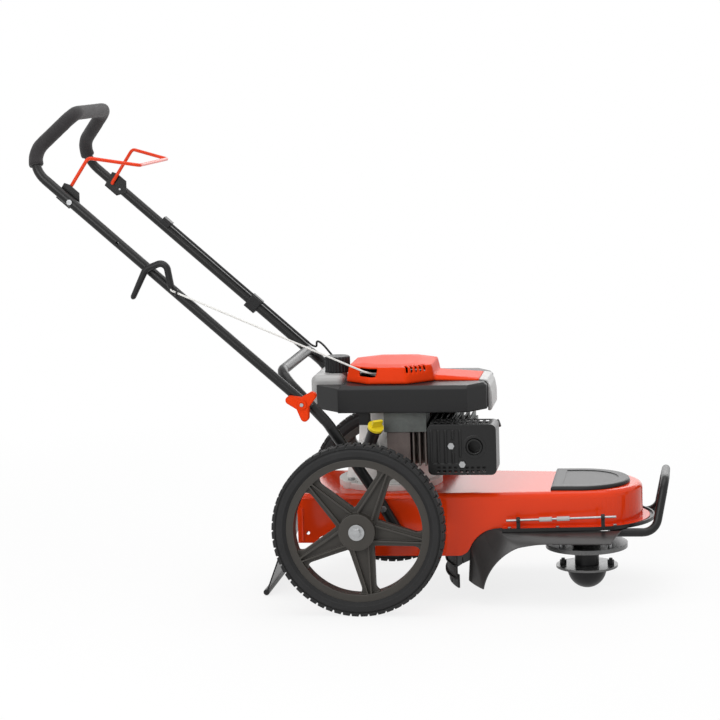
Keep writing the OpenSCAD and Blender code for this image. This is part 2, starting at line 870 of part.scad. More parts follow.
// Rear stand
stand_foot = [stand_tip_x, stand_bar_d / 2 + stand_lift];
module rear_stand() color(satin_black) difference() {
    top = [-deck_rear - stand_t / 2, stand_top_z - stand_t];
    dir = unit(stand_foot - top);
    side = [-dir.y, dir.x] * stand_t / 2;
    wall_x = -deck_rear - stand_t;
    inner = top + side;
    across(stand_w) polygon([
        [-deck_rear, stand_top_z], [wall_x, stand_top_z], stand_foot - side, stand_foot + side,
        inner + dir * (wall_x - inner.x) / dir.x, [wall_x, stand_top_z - stand_tab],
        [-deck_rear, stand_top_z - stand_tab]
    ]);
    translate([stand_foot.x, 0, stand_foot.y]) rod_y(stand_bar_d, 2 * stand_w);
}
module stand_bar() color(black)
    translate([stand_foot.x, 0, stand_foot.y]) rod_y(stand_bar_d, stand_bar_len);

// Lower handle: one U tube bolted to the deck's sides
function leg_point(p, y) = [p.x, -y, p.y];
leg_half = [
    leg_point(leg_low, leg_y), leg_point(leg_knee, leg_y), leg_point(leg_shoulder, leg_top_y),
    leg_point(leg_top, leg_top_y)
];
leg_path = concat(leg_half, reversed([for (p = leg_half) flip(p)]));
leg_bolt = mid(leg_low, leg_knee, leg_bolt_share);
module lower_handle() color(satin_black) difference() {
    bent_tube(leg_path, leg_bends, lower_tube_d, tube_wall);
    translate([pivot.x, 0, pivot.y]) rod_y(pivot_bolt_d + 2 * run_clear, handle_w);
    translate([leg_bolt.x, 0, leg_bolt.y]) rod_y(pivot_bolt_d + 2 * run_clear, handle_w);
}

// Upper handle
tube_start = [pivot.x, -handle_w / 2, pivot.y] - tube_tail * handle_dir;
handle_path = [tube_start, grip_corner, grip_top, flip(grip_top), flip(grip_corner), flip(tube_start)];
handle_bends = [0, grip_bend_r, top_bend_r, top_bend_r, grip_bend_r, 0];
spare_hole = on_handle(spare_hole_along, 0);
module upper_handle() color(satin_black) difference() {
    bent_tube(handle_path, handle_bends, upper_tube_d, tube_wall);
    translate([pivot.x, 0, pivot.y]) rod_y(pivot_bolt_d + 2 * run_clear, handle_w + 2 * upper_tube_d);
    translate([spare_hole.x, -handle_w / 2, spare_hole.z]) rod_y(spare_hole_d, 2 * upper_tube_d);
    at_screws() rod_y(screw_d + 2 * run_clear, 2 * handle_w);
}
module at_screws() translate(on_handle(screw_along, 0)) children();
module foam_run(d) {
    top_dir = [0, 1, 0];
    a = trim_length(handle_dir, grip_dir, grip_bend_r);
    b = trim_length(grip_dir, top_dir, top_bend_r);
    both_sides() {
        bend(grip_corner, handle_dir, grip_dir, grip_bend_r, d, foam_start_share);
        bar(grip_corner + grip_dir * a, grip_top - grip_dir * b, d);
        bend(grip_top, grip_dir, top_dir, top_bend_r, d);
    }
    bar(grip_top + top_dir * b, flip(grip_top) - top_dir * b, d);
}
module foam_grip() color(wheel_grey) difference() {
    foam_run(foam_d);
    bent_bar(handle_path, handle_bends, upper_tube_d + 2 * fit_gap);
}

// Star knobs on the fold pivots
module knob_body() translate([pivot.x, -handle_w / 2 - upper_tube_d / 2 - fit_gap, pivot.y])
    rotate([90, 0, 0]) difference() {
        union() {
            linear_extrude(height = knob_t) for (i = [0:knob_lobes - 1])
                rotate([0, 0, knob_turn + i * 360 / knob_lobes]) hull() {
                    circle(r = knob_core_r, $fn = hull_fn);
                    translate([knob_arm, 0]) circle(r = knob_tip_r, $fn = hull_fn);
                }
            cylinder(d = knob_cap_d, h = knob_t + knob_cap_h / 2);
        }
        translate([0, 0, -overrun]) cylinder(d = pivot_bolt_d + 2 * run_clear, h = knob_t + 4 * overrun);
    }
module knob_right() color(orange) knob_body();
module knob_left() color(orange) left_side() knob_body();

// Frame bolts: fold pivots, leg bolts and the studs of the guard plate
module frame_bolts() color(zinc) {
    both_sides() {
        outer = handle_w / 2 + upper_tube_d / 2 + knob_t + knob_cap_h;
        head_y = leg_top_y - lower_tube_d / 2;
        bar([pivot.x, -head_y, pivot.y], [pivot.x, -outer, pivot.y], pivot_bolt_d);
        translate([pivot.x, -head_y, pivot.y]) rotate([-90, 0, 0]) hex_head(bolt_af, bolt_h);
        leg_out = leg_y + lower_tube_d / 2;
        deck_in = deck_half(leg_bolt.x) - sheet;
        bar([leg_bolt.x, -deck_in, leg_bolt.y], [leg_bolt.x, -leg_out, leg_bolt.y], pivot_bolt_d);
        translate([leg_bolt.x, -leg_out, leg_bolt.y]) rotate([90, 0, 0]) hex_head(bolt_af, bolt_h);
        translate([leg_bolt.x, -deck_in, leg_bolt.y]) rotate([-90, 0, 0]) hex_head(bolt_af, bolt_h);
    }
    for (i = [0:studs - 1]) at_head(0) rotate([0, 0, (2 * i + 1) * 180 / studs]) translate([stud_r, 0, 0]) {
        translate([0, 0, guard_plate_z - bolt_h]) hex_head(bolt_af, bolt_h);
        translate([0, 0, guard_plate_z + guard_plate_t])
            cylinder(d = stud_d, h = front_low - plate_t - guard_plate_z - guard_plate_t);
    }
}

// Spindle housing, bearings and the fixed guard plate
module at_head(z) translate([head_x, 0, z]) children();
module spindle_housing() color(satin_black) difference() {
    union() {
        at_head(housing_low) cylinder(d = housing_d, h = front_low + plate_t - housing_low);
        at_head(front_low - plate_t - housing_flange_t)
            cylinder(d = housing_flange_d, h = housing_flange_t);
    }
    at_head(housing_low - overrun) cylinder(d = spindle_d + 2 * fit_gap, h = front_low);
    at_head(housing_low - overrun) cylinder(d = bearing_d, h = bearing_t + overrun);
    at_head(front_low + plate_t - bearing_t) cylinder(d = bearing_d, h = bearing_t + overrun);
}
module spindle_bearings() color(zinc) for (z = [housing_low, front_low + plate_t - bearing_t]) at_head(z)
    difference() {
        cylinder(d = bearing_d, h = bearing_t);
        translate([0, 0, -overrun]) cylinder(d = spindle_d + 2 * run_clear, h = bearing_t + 2 * overrun);
    }
module guard_plate() color(pale_grey) at_head(guard_plate_z) difference() {
    union() {
        cylinder(d = guard_plate_d, h = guard_plate_t);
        translate([0, 0, -guard_rim_drop]) difference() {
            cylinder(d = guard_plate_d, h = guard_rim_drop);
            translate([0, 0, -overrun])
                cylinder(d = guard_plate_d - 2 * guard_rim_w, h = guard_rim_drop + overrun);
        }
        cylinder(d = housing_d, h = housing_low - guard_plate_z);
    }
    translate([0, 0, -overrun]) cylinder(d = spindle_d + 4 * fit_gap, h = housing_low);
}

// Spinning head
module spindle() color(zinc) at_head(spindle_low) cylinder(d = spindle_d, h = spindle_top - spindle_low);
module head_hub() color(black) at_head(hub_low) difference() {
    cylinder(d = head_hub_d, h = guard_plate_z - 4 * fit_gap - hub_low);
    translate([0, 0, -overrun]) cylinder(d = spindle_d, h = guard_plate_z);
}
module line_disc() color(pale_grey) at_head(hub_low - line_disc_t) difference() {
    cylinder(d = line_disc_d, h = line_disc_t);
    translate([0, 0, -overrun]) cylinder(d = spindle_d, h = line_disc_t + 2 * overrun);
    for (s = [-1, 1])
        translate([s * post_r, 0, -overrun]) cylinder(d = post_d, h = line_disc_t + 2 * overrun);
}
module line_posts() color(satin_black) for (s = [-1, 1])
    at_head(hub_low - line_disc_t) translate([s * post_r, 0, 0]) {
        translate([0, 0, -bolt_h]) cylinder(d = post_d, h = post_h + 2 * bolt_h);
        translate([0, 0, line_disc_t]) hex_head(bolt_af, 2 * bolt_h);
        translate([0, 0, -bolt_h]) hex_head(bolt_af, bolt_h);
    }
module ground_ball() color(black) at_head(0) difference() {
    height = hub_low - line_disc_t;
    rotate_extrude() intersection() {
        translate([0, ball_d / 2 - ball_flat]) circle(d = ball_d);
        square([ball_d, height]);
    }
    translate([0, 0, spindle_low]) cylinder(d = spindle_d, h = height);
}

// Belt drive inside the deck
module grooved_pulley(d, bore) difference() {
    cylinder(d = d, h = pulley_t);
    translate([0, 0, (pulley_t - groove_t) / 2]) difference() {
        cylinder(d = d + overrun, h = groove_t);
        translate([0, 0, -overrun]) cylinder(d = d - 2 * groove_depth, h = groove_t + 2 * overrun);
    }
    translate([0, 0, -overrun]) cylinder(d = bore, h = pulley_t + 2 * overrun);
}
module drive_pulley() color(satin_black) at_crank(pulley_z) grooved_pulley(drive_pulley_d, crank_d);
module spindle_pulley() color(satin_black) at_head(pulley_z) grooved_pulley(spindle_pulley_d, spindle_d);
module belt_outline(grow) hull() {
    translate([crank_x, 0]) circle(d = drive_pulley_d + 2 * grow);
    translate([head_x, 0]) circle(d = spindle_pulley_d + 2 * grow);
}
module drive_belt() color(black) translate([0, 0, pulley_z + (pulley_t - belt_w) / 2])
    linear_extrude(height = belt_w) difference() {
        belt_outline(belt_t + fit_gap - groove_depth);
        belt_outline(fit_gap - groove_depth);
    }

// Engine block with its base flange, crankcase, finned barrel and side covers
module at_crank(z) translate([crank_x, 0, z]) children();
module at_ears() for (a = ear_angles)
    at_crank(deck_top) rotate([0, 0, a]) translate([ear_reach, 0, 0]) children();
module engine_block() color(cast_silver) difference() {
    union() {
        at_crank(deck_top) cylinder(d = flange_d, h = flange_t);
        at_ears() cylinder(d = ear_d, h = lug_t);
        at_crank(0) rotate_extrude() polygon(concat(
            [[0, case_z[0]]], [for (i = [0:3]) [case_r_shares[i] * flange_d / 2, case_z[i]]],
            [[0, case_z[3]]]
        ));
        corner_box(barrel);
        corner_box(side_cover);
        corner_box(air_duct);
        for (i = [0:fin_count - 1]) {
            x = fin_x0 + i * fin_pitch;
            corner_box([[x, fin_y[0], fin_z[0]], [x + fin_t, fin_y[1], fin_z[1]]]);
        }
        bar(neck_foot, neck_seat, neck_boss_d);
    }
    at_crank(deck_top - overrun) cylinder(d = crank_d + 2 * run_clear, h = crank_top);
    at_ears() translate([0, 0, -overrun]) cylinder(d = stud_d, h = lug_t + 2 * overrun);
}
module engine_bolts() color(zinc) {
    at_ears() {
        cylinder(d = stud_d, h = lug_t);
        translate([0, 0, lug_t]) hex_head(bolt_af, bolt_h);
    }
    for (p = guard_bolt_places) translate([p.x, guard_box[0].y, p.y]) {
        rotate([90, 0, 0]) hex_head(bolt_af, bolt_h);
        rotate([-90, 0, 0]) cylinder(d = stud_d, h = muffler_gap);
    }
}
module crankshaft() color(zinc) at_crank(crank_low) cylinder(d = crank_d, h = crank_top - crank_low);
module flywheel() color(cast_silver) at_crank(flywheel_z) difference() {
    union() {
        cylinder(d = flywheel_d, h = flywheel_t);
        for (i = [0:flywheel_fins - 1]) rotate([0, 0, i * 360 / flywheel_fins])
            translate([flywheel_d / 4, -flywheel_fin_t / 2, 0])
                cube([flywheel_d * flywheel_fin_share, flywheel_fin_t, flywheel_t + flywheel_fin_h]);
    }
    translate([0, 0, -overrun]) cylinder(d = crank_d, h = crank_top);
}

// Blower housing: a closed shell with drafted edges and a wall beside the tank
module cowl_outline(inset) {
    w = cowl_w / 2 - inset;
    polygon([
        [cowl_rear_x + inset, -w], [cowl_corner_x, -w], [cowl_front_x - inset, -cowl_corner_y],
        [cowl_front_x - inset, cowl_corner_y], [cowl_corner_x, w], [cowl_rear_x + inset, w]
    ]);
}
module cowl_shape(inset, low, top) hull() for (s = [0, 1])
    translate([0, 0, low]) linear_extrude(height = top - low - (1 - s) * cowl_draft)
        cowl_outline(inset + s * cowl_draft);
module blower_housing() color(black) difference() {
    union() {
        cowl_shape(0, cowl_low, cowl_top);
        corner_box(duct_leg);
        translate([0, 0, cowl_low]) linear_extrude(height = cowl_top - cowl_low - cowl_draft) polygon([
            [cowl_rear_x + cowl_t, -cowl_w / 2 + cowl_draft], [ear_rear_x, -ear_rear_y],
            [ear_rear_x, -ear_rear_y + ear_t], [cowl_rear_x + cowl_t, -ear_rear_y + ear_t]
        ]);
    }
    cowl_shape(cowl_t, cowl_low + cowl_t, cowl_top - cowl_t);
    at_crank(cowl_low - overrun) cylinder(d = crank_hole_d, h = 2 * overrun + cowl_t);
    at_crank(cowl_top - overrun) cylinder(d = clutch_hole_d, h = 2 * overrun);
}

// Recoil cover: an eight-sided shell with a low dome, a tongue, a rope window, slots and the pulley's pin
module cover_ring(inset, share) translate([cover_c, 0]) scale(share) softened(cover_round) {
    a = cover_len / 2 - inset;
    b = cover_half_w - inset;
    c = cover_cut;
    polygon([
        [-a, c.y - b], [c.x - a, -b], [a - c.x, -b], [a, c.y - b],
        [a, b - c.y], [a - c.x, b], [c.x - a, b], [-a, b - c.y]
    ]);
}
module cover_shape(inset, low, drop) hull() for (i = [0:2]) translate([0, 0, low])
    linear_extrude(height = cover_z[i] - drop - low) cover_ring(inset, cover_shares[i]);
module recoil_cover() color(orange) difference() {
    union() {
        difference() {
            union() {
                cover_shape(0, cowl_top, 0);
                hull() for (s = tongue_shares)
                    translate([cover_c, -tongue_w / 2 * s[0], cowl_top])
                        cube([tongue_x - cover_c, tongue_w * s[0], (tongue_top - cowl_top) * s[1]]);
            }
            cover_shape(cover_t, cowl_top - overrun, cover_t);
        }
        at_crank(recoil_pulley_z - fit_gap)
            cylinder(d = pin_d, h = cover_z[2] - cover_t / 2 - recoil_pulley_z);
    }
    translate(rope_entry) rotate([0, 0, rope_window_turn]) cube(rope_window, center = true);
    for (i = [0:vent_count - 1])
        translate([cover_c, 0, cover_z[1]]) rotate([0, 0, vent_turn + i * vent_pitch])
            translate([cover_half_w * cover_shares[1], 0, 0])
                cube([vent_len, vent_w, vent_len], center = true);
}
groove_r = rope_d / 2 + fit_gap;
module recoil_pulley() color(satin_black) at_crank(recoil_pulley_z) difference() {
    cylinder(d = recoil_pulley_d, h = recoil_pulley_t);
    // the groove leaves room for the rope to rise on its way out
    translate([0, 0, recoil_pulley_t / 2]) rotate_extrude() translate([recoil_pulley_d / 2, 0]) {
        circle(r = groove_r);
        translate([0, rope_room]) circle(r = groove_r);
        translate([-groove_r, 0]) square([2 * groove_r, rope_room]);
    }
    translate([0, 0, -overrun]) cylinder(d = pin_d + 2 * run_clear, h = recoil_pulley_t + 2 * overrun);
}
// The cap is bent over the housing's front edge
module cowl_cap() color(pale_grey) across(cap_w) polygon(concat(
    [[tongue_x + fit_gap, cowl_top], [tongue_x + fit_gap, cowl_top + cap_t]], cap_curve,
    [[cowl_front_x, cap_low], [cowl_front_x, cowl_top - cowl_draft], [cowl_front_x - cowl_draft, cowl_top]]
));

// Fuel tank and its screw cap
module fuel_tank() color(pale_grey) {
    soft_box([[tank_rear_x, tank_y[0], tank_z[0]], [cowl_rear_x, tank_y[1], tank_z[1]]], tank_round);
    translate([tank_cap_c.x, tank_cap_c.y, tank_z[1] - tank_neck_h])
        cylinder(d = tank_neck_d, h = 2 * tank_neck_h);
}
module fuel_cap() color(black) translate([tank_cap_c.x, tank_cap_c.y, tank_z[1] + fit_gap]) difference() {
    union() {
        cylinder(d = fuel_cap_d - 2 * fuel_cap_rib, h = fuel_cap_h);
        for (i = [0:fuel_cap_ribs - 1]) rotate([0, 0, i * 360 / fuel_cap_ribs])
            translate([fuel_cap_d / 2 - 2 * fuel_cap_rib, -fuel_cap_rib / 2, 0])
                cube([2 * fuel_cap_rib, fuel_cap_rib, fuel_cap_h - fuel_cap_rib]);
    }
    translate([0, 0, -overrun]) cylinder(d = tank_neck_d + 2 * run_clear, h = tank_neck_h + overrun);
}

// Muffler and guard
module guard_outline(inset) {
    a = guard_box[0];
    b = guard_box[1];
    hull() for (x = [a.x + guard_box_r, b.x - guard_box_r], z = [a.z + guard_box_r, b.z - guard_box_r])
        translate([x, z]) circle(r = guard_box_r - inset, $fn = hull_fn);
}
module guard_slab(inset, y0, y1) translate([0, y1, 0]) rotate([90, 0, 0])
    linear_extrude(height = y1 - y0) guard_outline(inset);
module muffler_guard() color(black) difference() {
    a = guard_box[0];
    b = guard_box[1];
    union() {
        guard_slab(0, a.y, b.y);
        translate([outlet_c.x, a.y, outlet_c.y])
            rod_y(outlet_d + 2 * outlet_gap + 2 * collar_w, outlet_out);
    }
    guard_slab(guard_box_t, a.y + guard_box_t, b.y + overrun);
    // shallow upright grooves and two rows of small openings in the front
    for (i = [0:louvre_count - 1])
        translate([louvre_x + i * louvre_pitch, a.y - louvre_depth, louvre_z[0]])
            cube([louvre_w, 2 * louvre_depth, louvre_z[1] - louvre_z[0]]);
    for (i = [0:front_holes - 1], z = front_hole_z)
        translate([front_hole_x + i * front_hole_pitch, a.y - overrun, z])
            cube([front_hole.x, 2 * overrun, front_hole.y]);
    translate([outlet_c.x, a.y, outlet_c.y]) rod_y(outlet_d + 2 * outlet_gap, 2 * overrun);
    for (p = guard_bolt_places) translate([p.x, a.y, p.y]) rod_y(stud_d, 2 * overrun);
    for (i = [0:edge_slots - 1], z = [a.z - overrun, b.z - overrun], y = edge_slot_shares)
        translate([a.x + guard_box_r + i * edge_slot_pitch, mid(a.y, b.y, y), z])
            cube([edge_slot.x, edge_slot.y, 2 * overrun]);
}
module muffler() color(satin_black) difference() {
    a = guard_box[0];
    b = guard_box[1];
    face_y = a.y + muffler_gap;
    union() {
        guard_slab(muffler_gap, face_y, b.y);
        bar([outlet_c.x, face_y, outlet_c.y], [outlet_c.x, a.y - outlet_out, outlet_c.y], outlet_d);
        bar([stub_c.x, b.y, stub_c.y], [stub_c.x, fin_y[0], stub_c.y], outlet_d);
    }
    translate([outlet_c.x, face_y, outlet_c.y]) rod_y(outlet_bore_d, 4 * muffler_gap);
}

// Oil neck, dipstick, air cleaner and spark plug
neck_dir = unit(neck_top - neck_seat);
module oil_neck() color(black) difference() {
    union() {
        bar(neck_seat - neck_dir * neck_d / 2, neck_top, neck_d);
        bar(neck_top - neck_dir * neck_collar_t, neck_top, neck_collar_d);
    }
    bar(neck_foot, neck_seat, neck_boss_d);
    bar(neck_top - neck_dir * (dipstick_rod_len + overrun), neck_top + neck_dir * overrun,
        dipstick_rod_d + 4 * fit_gap);
}
module dipstick() color(yellow) aim(neck_top + neck_dir * fit_gap, neck_top + neck_dir) {
    cylinder(d = dipstick_d, h = dipstick_t);
    translate([-dipstick_wing.x / 2, -dipstick_wing.y / 2, 0]) cube(dipstick_wing);
    translate([0, 0, -dipstick_rod_len]) cylinder(d = dipstick_rod_d, h = dipstick_rod_len + dipstick_t);
}
module air_cleaner() color(black) {
    a = air_box[0];
    b = air_box[1];
    soft_box(air_box, air_round);
    for (i = [1:air_rib_count])
        translate([mid(a.x, b.x, i / (air_rib_count + 1)), b.y - air_round, a.z + air_round])
            cube([air_rib, air_round + air_rib, b.z - a.z - 3 * air_round]);
}
module spark_plug() color(black) {
    bar(plug_c, plug_c + [plug_len, 0, 0], plug_d);
    bar(plug_c + [plug_len / 2, 0, 0], plug_c + [plug_len / 2 + boot_len, 0, boot_rise], boot_d);
}

// Bail and brackets
bail_pivot = on_handle(bail_pivot_along, bail_pivot_lift);
bail_side = handle_w / 2 - upper_tube_d / 2 - fit_gap;
function bail_at(p, y) = [bail_pivot.x + p.x, -y, bail_pivot.z + p.y];
bail_half = [
    bail_at([0, 0], bail_side), bail_at([0, 0], bail_leg_y), bail_at(bail_corner, bail_leg_y),
    bail_at(bail_front, bail_front_y)
];
bail_path = concat(bail_half, reversed([for (p = bail_half) flip(p)]));
bail_bends = [0, bail_foot_r, bail_bend_r, bail_bend_r, bail_bend_r, bail_bend_r, bail_foot_r, 0];
module bail() color(orange) bent_bar(bail_path, bail_bends, bail_d);
module bail_brackets() color(satin_black) both_sides() translate([0, -bail_side + bracket_t / 2, 0])
    difference() {
        across(bracket_t) polygon([for (p = bracket_corners)
            let (q = on_handle(bail_pivot_along + p.x, p.y)) [q.x, q.z]]);
        translate([bail_pivot.x, 0, bail_pivot.z]) rod_y(bail_d + 2 * run_clear, 2 * bracket_t);
        at_screws() rod_y(screw_d + 2 * run_clear, 2 * bracket_t);
    }
module handle_screws() color(zinc) both_sides() at_screws() {
    tube_y = handle_w / 2 + upper_tube_d / 2;
    translate([0, -tube_y, 0]) rotate([90, 0, 0]) cylinder(d = screw_head_d, h = screw_head_h);
    bar([0, -tube_y, 0], [0, -bail_side + bracket_t, 0], screw_d);
}

// Starter grip, rope and guide
rope_start = [rope_start_x, -bow_y, rope_start_z];
rope_dir = unit(rope_start - rope_entry);
rope_in = mid([bow_d.x, -bow_y, bow_d.y], [bow_c.x, -bow_y, bow_c.y], rope_in_share);
rope_eye = rope_start - rope_dir * eye_back;
pulley_aim = [rope_entry.x - crank_x, rope_entry.y];
rope_leave = atan2(pulley_aim.y, pulley_aim.x) + acos(recoil_pulley_d / 2 / norm(pulley_aim));
rope_wind_z = recoil_pulley_z + recoil_pulley_t / 2;
rope_end = [
    crank_x + recoil_pulley_d / 2 * cos(rope_leave), recoil_pulley_d / 2 * sin(rope_leave), rope_wind_z
];
module starter_grip() color(black) difference() {
    bow = [bow_a, bow_b, bow_c, bow_d];
    translate([0, -bow_y, 0]) for (i = [0:2]) hull() for (p = [bow[i], bow[i + 1]])
        translate([p.x, 0, p.y]) scale([1, bow_w / bow_t, 1]) sphere(d = bow_t, $fn = bow_fn);
    bar(rope_start - [0, 0, overrun], rope_in, rope_d + 2 * fit_gap);
}
module starter_rope() color(pale_grey) {
    bent_bar([rope_end, rope_entry, rope_start, rope_in], [0, rope_bend_r, rope_turn_r, 0], rope_d);
    translate([crank_x, 0, rope_wind_z]) rotate([0, 0, rope_leave + rope_wind_gap])
        rotate_extrude(angle = 360 - 2 * rope_wind_gap)
            translate([recoil_pulley_d / 2, 0]) circle(d = rope_d);
}
module rope_guide() color(satin_black) difference() {
    union() {
        aim(rope_eye, rope_start) rotate_extrude() translate([eye_d / 2, 0]) circle(d = eye_wire);
        bar(rope_eye + [0, eye_d / 2, 0], [rope_eye.x, -handle_w / 2, rope_eye.z], eye_wire);
    }
    bar(tube_start, grip_corner, upper_tube_d + 2 * run_clear);
}

// Cable along the left tube, and its clips
cable_high = on_handle(cable_top_along, cable_lift) + [0, cable_y, 0];
cable_low = on_handle(cable_low_along, cable_lift) + [0, cable_y, 0];
module cable_upper() color(black) bar(cable_high, cable_low, cable_d);
module cable_lower() color(black) bent_bar(
    [cable_low - 2 * fit_gap * handle_dir, cable_low - cable_lead * handle_dir, cable_knee, cable_end],
    [0, cable_turn_r, cable_bend_r, 0], cable_d
);
module cable_clips() color(black) difference() {
    union() {
        on_left_tube(clip_along) cube(clip_box, center = true);
        on_left_tube(cable_top_along + anchor_box.x / 2)
            translate([0, 0, (upper_tube_d + anchor_box.z) / 2 - anchor_drop])
                cube(anchor_box, center = true);
    }
    bar(flip(tube_start), flip(grip_corner), upper_tube_d + 2 * run_clear);
    bar(cable_high, cable_low, cable_d + 2 * run_clear);
}
module on_left_tube(along)
    translate(on_handle(along, 0) + [0, handle_w / 2, 0]) rotate([0, handle_slope, 0]) children();

machine() deck();
machine() nose_pad();
machine() base_plate();
machine() rear_guard();
machine() side_wings();
machine() guard_flap();
machine() side_rod();
machine() rod_sleeves();
machine() rod_clips();
machine() bumper();
machine() axle();
machine() wheel_bolts();
machine() rear_stand();
machine() stand_bar();
machine() lower_handle();
machine() frame_bolts();
machine() spindle_housing();
machine() spindle_bearings();
machine() guard_plate();
machine() drive_belt();
machine() engine_block();
machine() engine_bolts();
machine() blower_housing();
machine() recoil_cover();
machine() cowl_cap();
machine() fuel_tank();
machine() muffler();
machine() muffler_guard();
machine() oil_neck();
machine() air_cleaner();
machine() spark_plug();
machine() cable_lower();
machine() crankshaft();
machine() drive_pulley();
machine() flywheel();
machine() spindle();
machine() spindle_pulley();
machine() head_hub();
machine() line_disc();
machine() line_posts();
machine() ground_ball();
machine() upper_handle();
machine() foam_grip();
machine() bail_brackets();
machine() rope_guide();
machine() cable_clips();
machine() handle_screws();
machine() cable_upper();
machine() bail();
machine() wheel_right();
machine() tyre_right();
machine() wheel_left();
machine() tyre_left();
machine() knob_right();
machine() knob_left();
machine() starter_grip();
machine() starter_rope();
machine() recoil_pulley();
machine() fuel_cap();
machine() dipstick();
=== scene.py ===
# %% [markdown]
# # A wheeled string trimmer, dressed for the camera
# The CAD model holds the machine's sizes, joints and hard shapes. This lesson makes the soft
# pieces (foam grip, rope and cable) and those that the solids only sketch (pull grip, recoil
# cover and its cap, muffler ribs, side wings and plate bolts). Then every piece gets a finish,
# and a plain studio is set up, with the camera at the photograph's viewpoint.
# Everything is in metres, and +X is forward, +Y is left and Z is up.

# %% Load the frame
import json
import math
import bpy
from mathutils import Matrix, Vector, noise


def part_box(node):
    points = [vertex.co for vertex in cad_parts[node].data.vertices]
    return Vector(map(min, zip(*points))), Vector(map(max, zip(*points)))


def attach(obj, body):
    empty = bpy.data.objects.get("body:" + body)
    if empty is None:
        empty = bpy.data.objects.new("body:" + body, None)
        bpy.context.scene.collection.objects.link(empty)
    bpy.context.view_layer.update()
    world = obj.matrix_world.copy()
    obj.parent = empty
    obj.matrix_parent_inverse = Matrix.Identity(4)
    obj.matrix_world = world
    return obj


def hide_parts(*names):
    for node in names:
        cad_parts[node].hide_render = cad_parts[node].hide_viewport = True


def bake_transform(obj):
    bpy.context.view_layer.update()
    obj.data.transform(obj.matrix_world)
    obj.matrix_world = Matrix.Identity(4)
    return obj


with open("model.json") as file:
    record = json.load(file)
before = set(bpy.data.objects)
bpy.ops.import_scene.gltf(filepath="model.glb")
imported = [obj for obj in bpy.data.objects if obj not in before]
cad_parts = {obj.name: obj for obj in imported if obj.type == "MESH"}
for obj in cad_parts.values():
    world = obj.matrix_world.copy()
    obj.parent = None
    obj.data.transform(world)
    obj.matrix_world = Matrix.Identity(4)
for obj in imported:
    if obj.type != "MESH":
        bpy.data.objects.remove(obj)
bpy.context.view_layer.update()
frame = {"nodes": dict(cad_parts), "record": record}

nodes = frame["nodes"]

# %% [markdown]
# ## Camera
# The viewpoint was solved from the wheels, the deck and the handle: a long lens about five
# metres away, nearly level, a little ahead of the wheel axle, and tilted by under two degrees.
# A camera looks along its own -Z, so its matrix is built from three columns: right, up
# and back. That is more exact than aiming it with a constraint, and it keeps the small roll.

# %% Camera
CAMERA_PLACE = Vector((0.7696, -5.015, 1.231))
CAMERA_TURN, CAMERA_RISE, CAMERA_ROLL = (math.radians(a) for a in (8.75, 7.90, -1.81))
CAMERA_LENS, CAMERA_SENSOR, CAMERA_REACH = 112.245, 36, 100

back = Vector((
    math.sin(CAMERA_TURN) * math.cos(CAMERA_RISE),
    -math.cos(CAMERA_TURN) * math.cos(CAMERA_RISE),
    math.sin(CAMERA_RISE),
))
level = Vector((math.cos(CAMERA_TURN), math.sin(CAMERA_TURN), 0))
rise = back.cross(level)
right = level * math.cos(CAMERA_ROLL) + rise * math.sin(CAMERA_ROLL)
up = rise * math.cos(CAMERA_ROLL) - level * math.sin(CAMERA_ROLL)

camera_data = bpy.data.cameras.new("camera")
camera_data.lens = CAMERA_LENS
camera_data.sensor_width = CAMERA_SENSOR
camera_data.clip_end = CAMERA_REACH
camera = bpy.data.objects.new("camera", camera_data)
turned = Matrix((right, up, back)).transposed().to_4x4()
camera.matrix_world = Matrix.Translation(CAMERA_PLACE) @ turned
bpy.context.scene.collection.objects.link(camera)
bpy.context.scene.camera = camera
print("camera at", [round(v, 3) for v in CAMERA_PLACE], "lens", CAMERA_LENS)

# %% [markdown]
# ## Paths and tubes
# The grips, the rope, the cable and the ribs are all one idea: a section swept along a line with
# rounded corners. A Blender curve with a bevel could do it, but a mesh lets each ring change
# its radius, so a few helpers make the line and the mesh.

# %% Helpers for lines
AXLE_SHIFT = Vector((0.0236211, 0, 0))


def at_axle(x, y, z):
    """A point given in millimetres from the ground below the axle, in the frame's metres."""
    return Vector((x, y, z)) / 1000 + AXLE_SHIFT


def partway(ends, share):
    """The number at a share of the way between two."""
    return ends[0] + (ends[1] - ends[0]) * share


def rounded_line(corners, radii, step):
    """Points about a step apart along straight runs joined by arcs of the given radii."""
    points = [corners[0]]
    for before, corner, after, radius in zip(corners, corners[1:], corners[2:], radii):
        inward, outward = (before - corner).normalized(), (after - corner).normalized()
        half = inward.angle(outward) / 2
        run = radius / math.tan(half)
        centre = corner + (inward + outward).normalized() * (radius / math.sin(half))
        start, end = corner + inward * run - centre, corner + outward * run - centre
        sweep = start.angle(end)
        axis = start.cross(end).normalized()
        count = max(3, round(sweep * radius / step))
        turns = [Matrix.Rotation(sweep * i / count, 3, axis) for i in range(count + 1)]
        points += [centre + turn @ start for turn in turns]
    points.append(corners[-1])
    filled = [points[0]]
    for a, b in zip(points, points[1:]):
        pieces = max(1, round((b - a).length / step))
        filled += [a.lerp(b, i / pieces) for i in range(1, pieces + 1)]
    return filled


def line_length(points):
    return sum((b - a).length for a, b in zip(points, points[1:]))


# %% Helpers for meshes
def add_piece(name, verts, faces):
    """A new mesh object, linked into the scene."""
    mesh = bpy.data.meshes.new(name)
    mesh.from_pydata(verts, [], faces)
    piece = bpy.data.objects.new(name, mesh)
    bpy.context.scene.collection.objects.link(piece)
    return piece


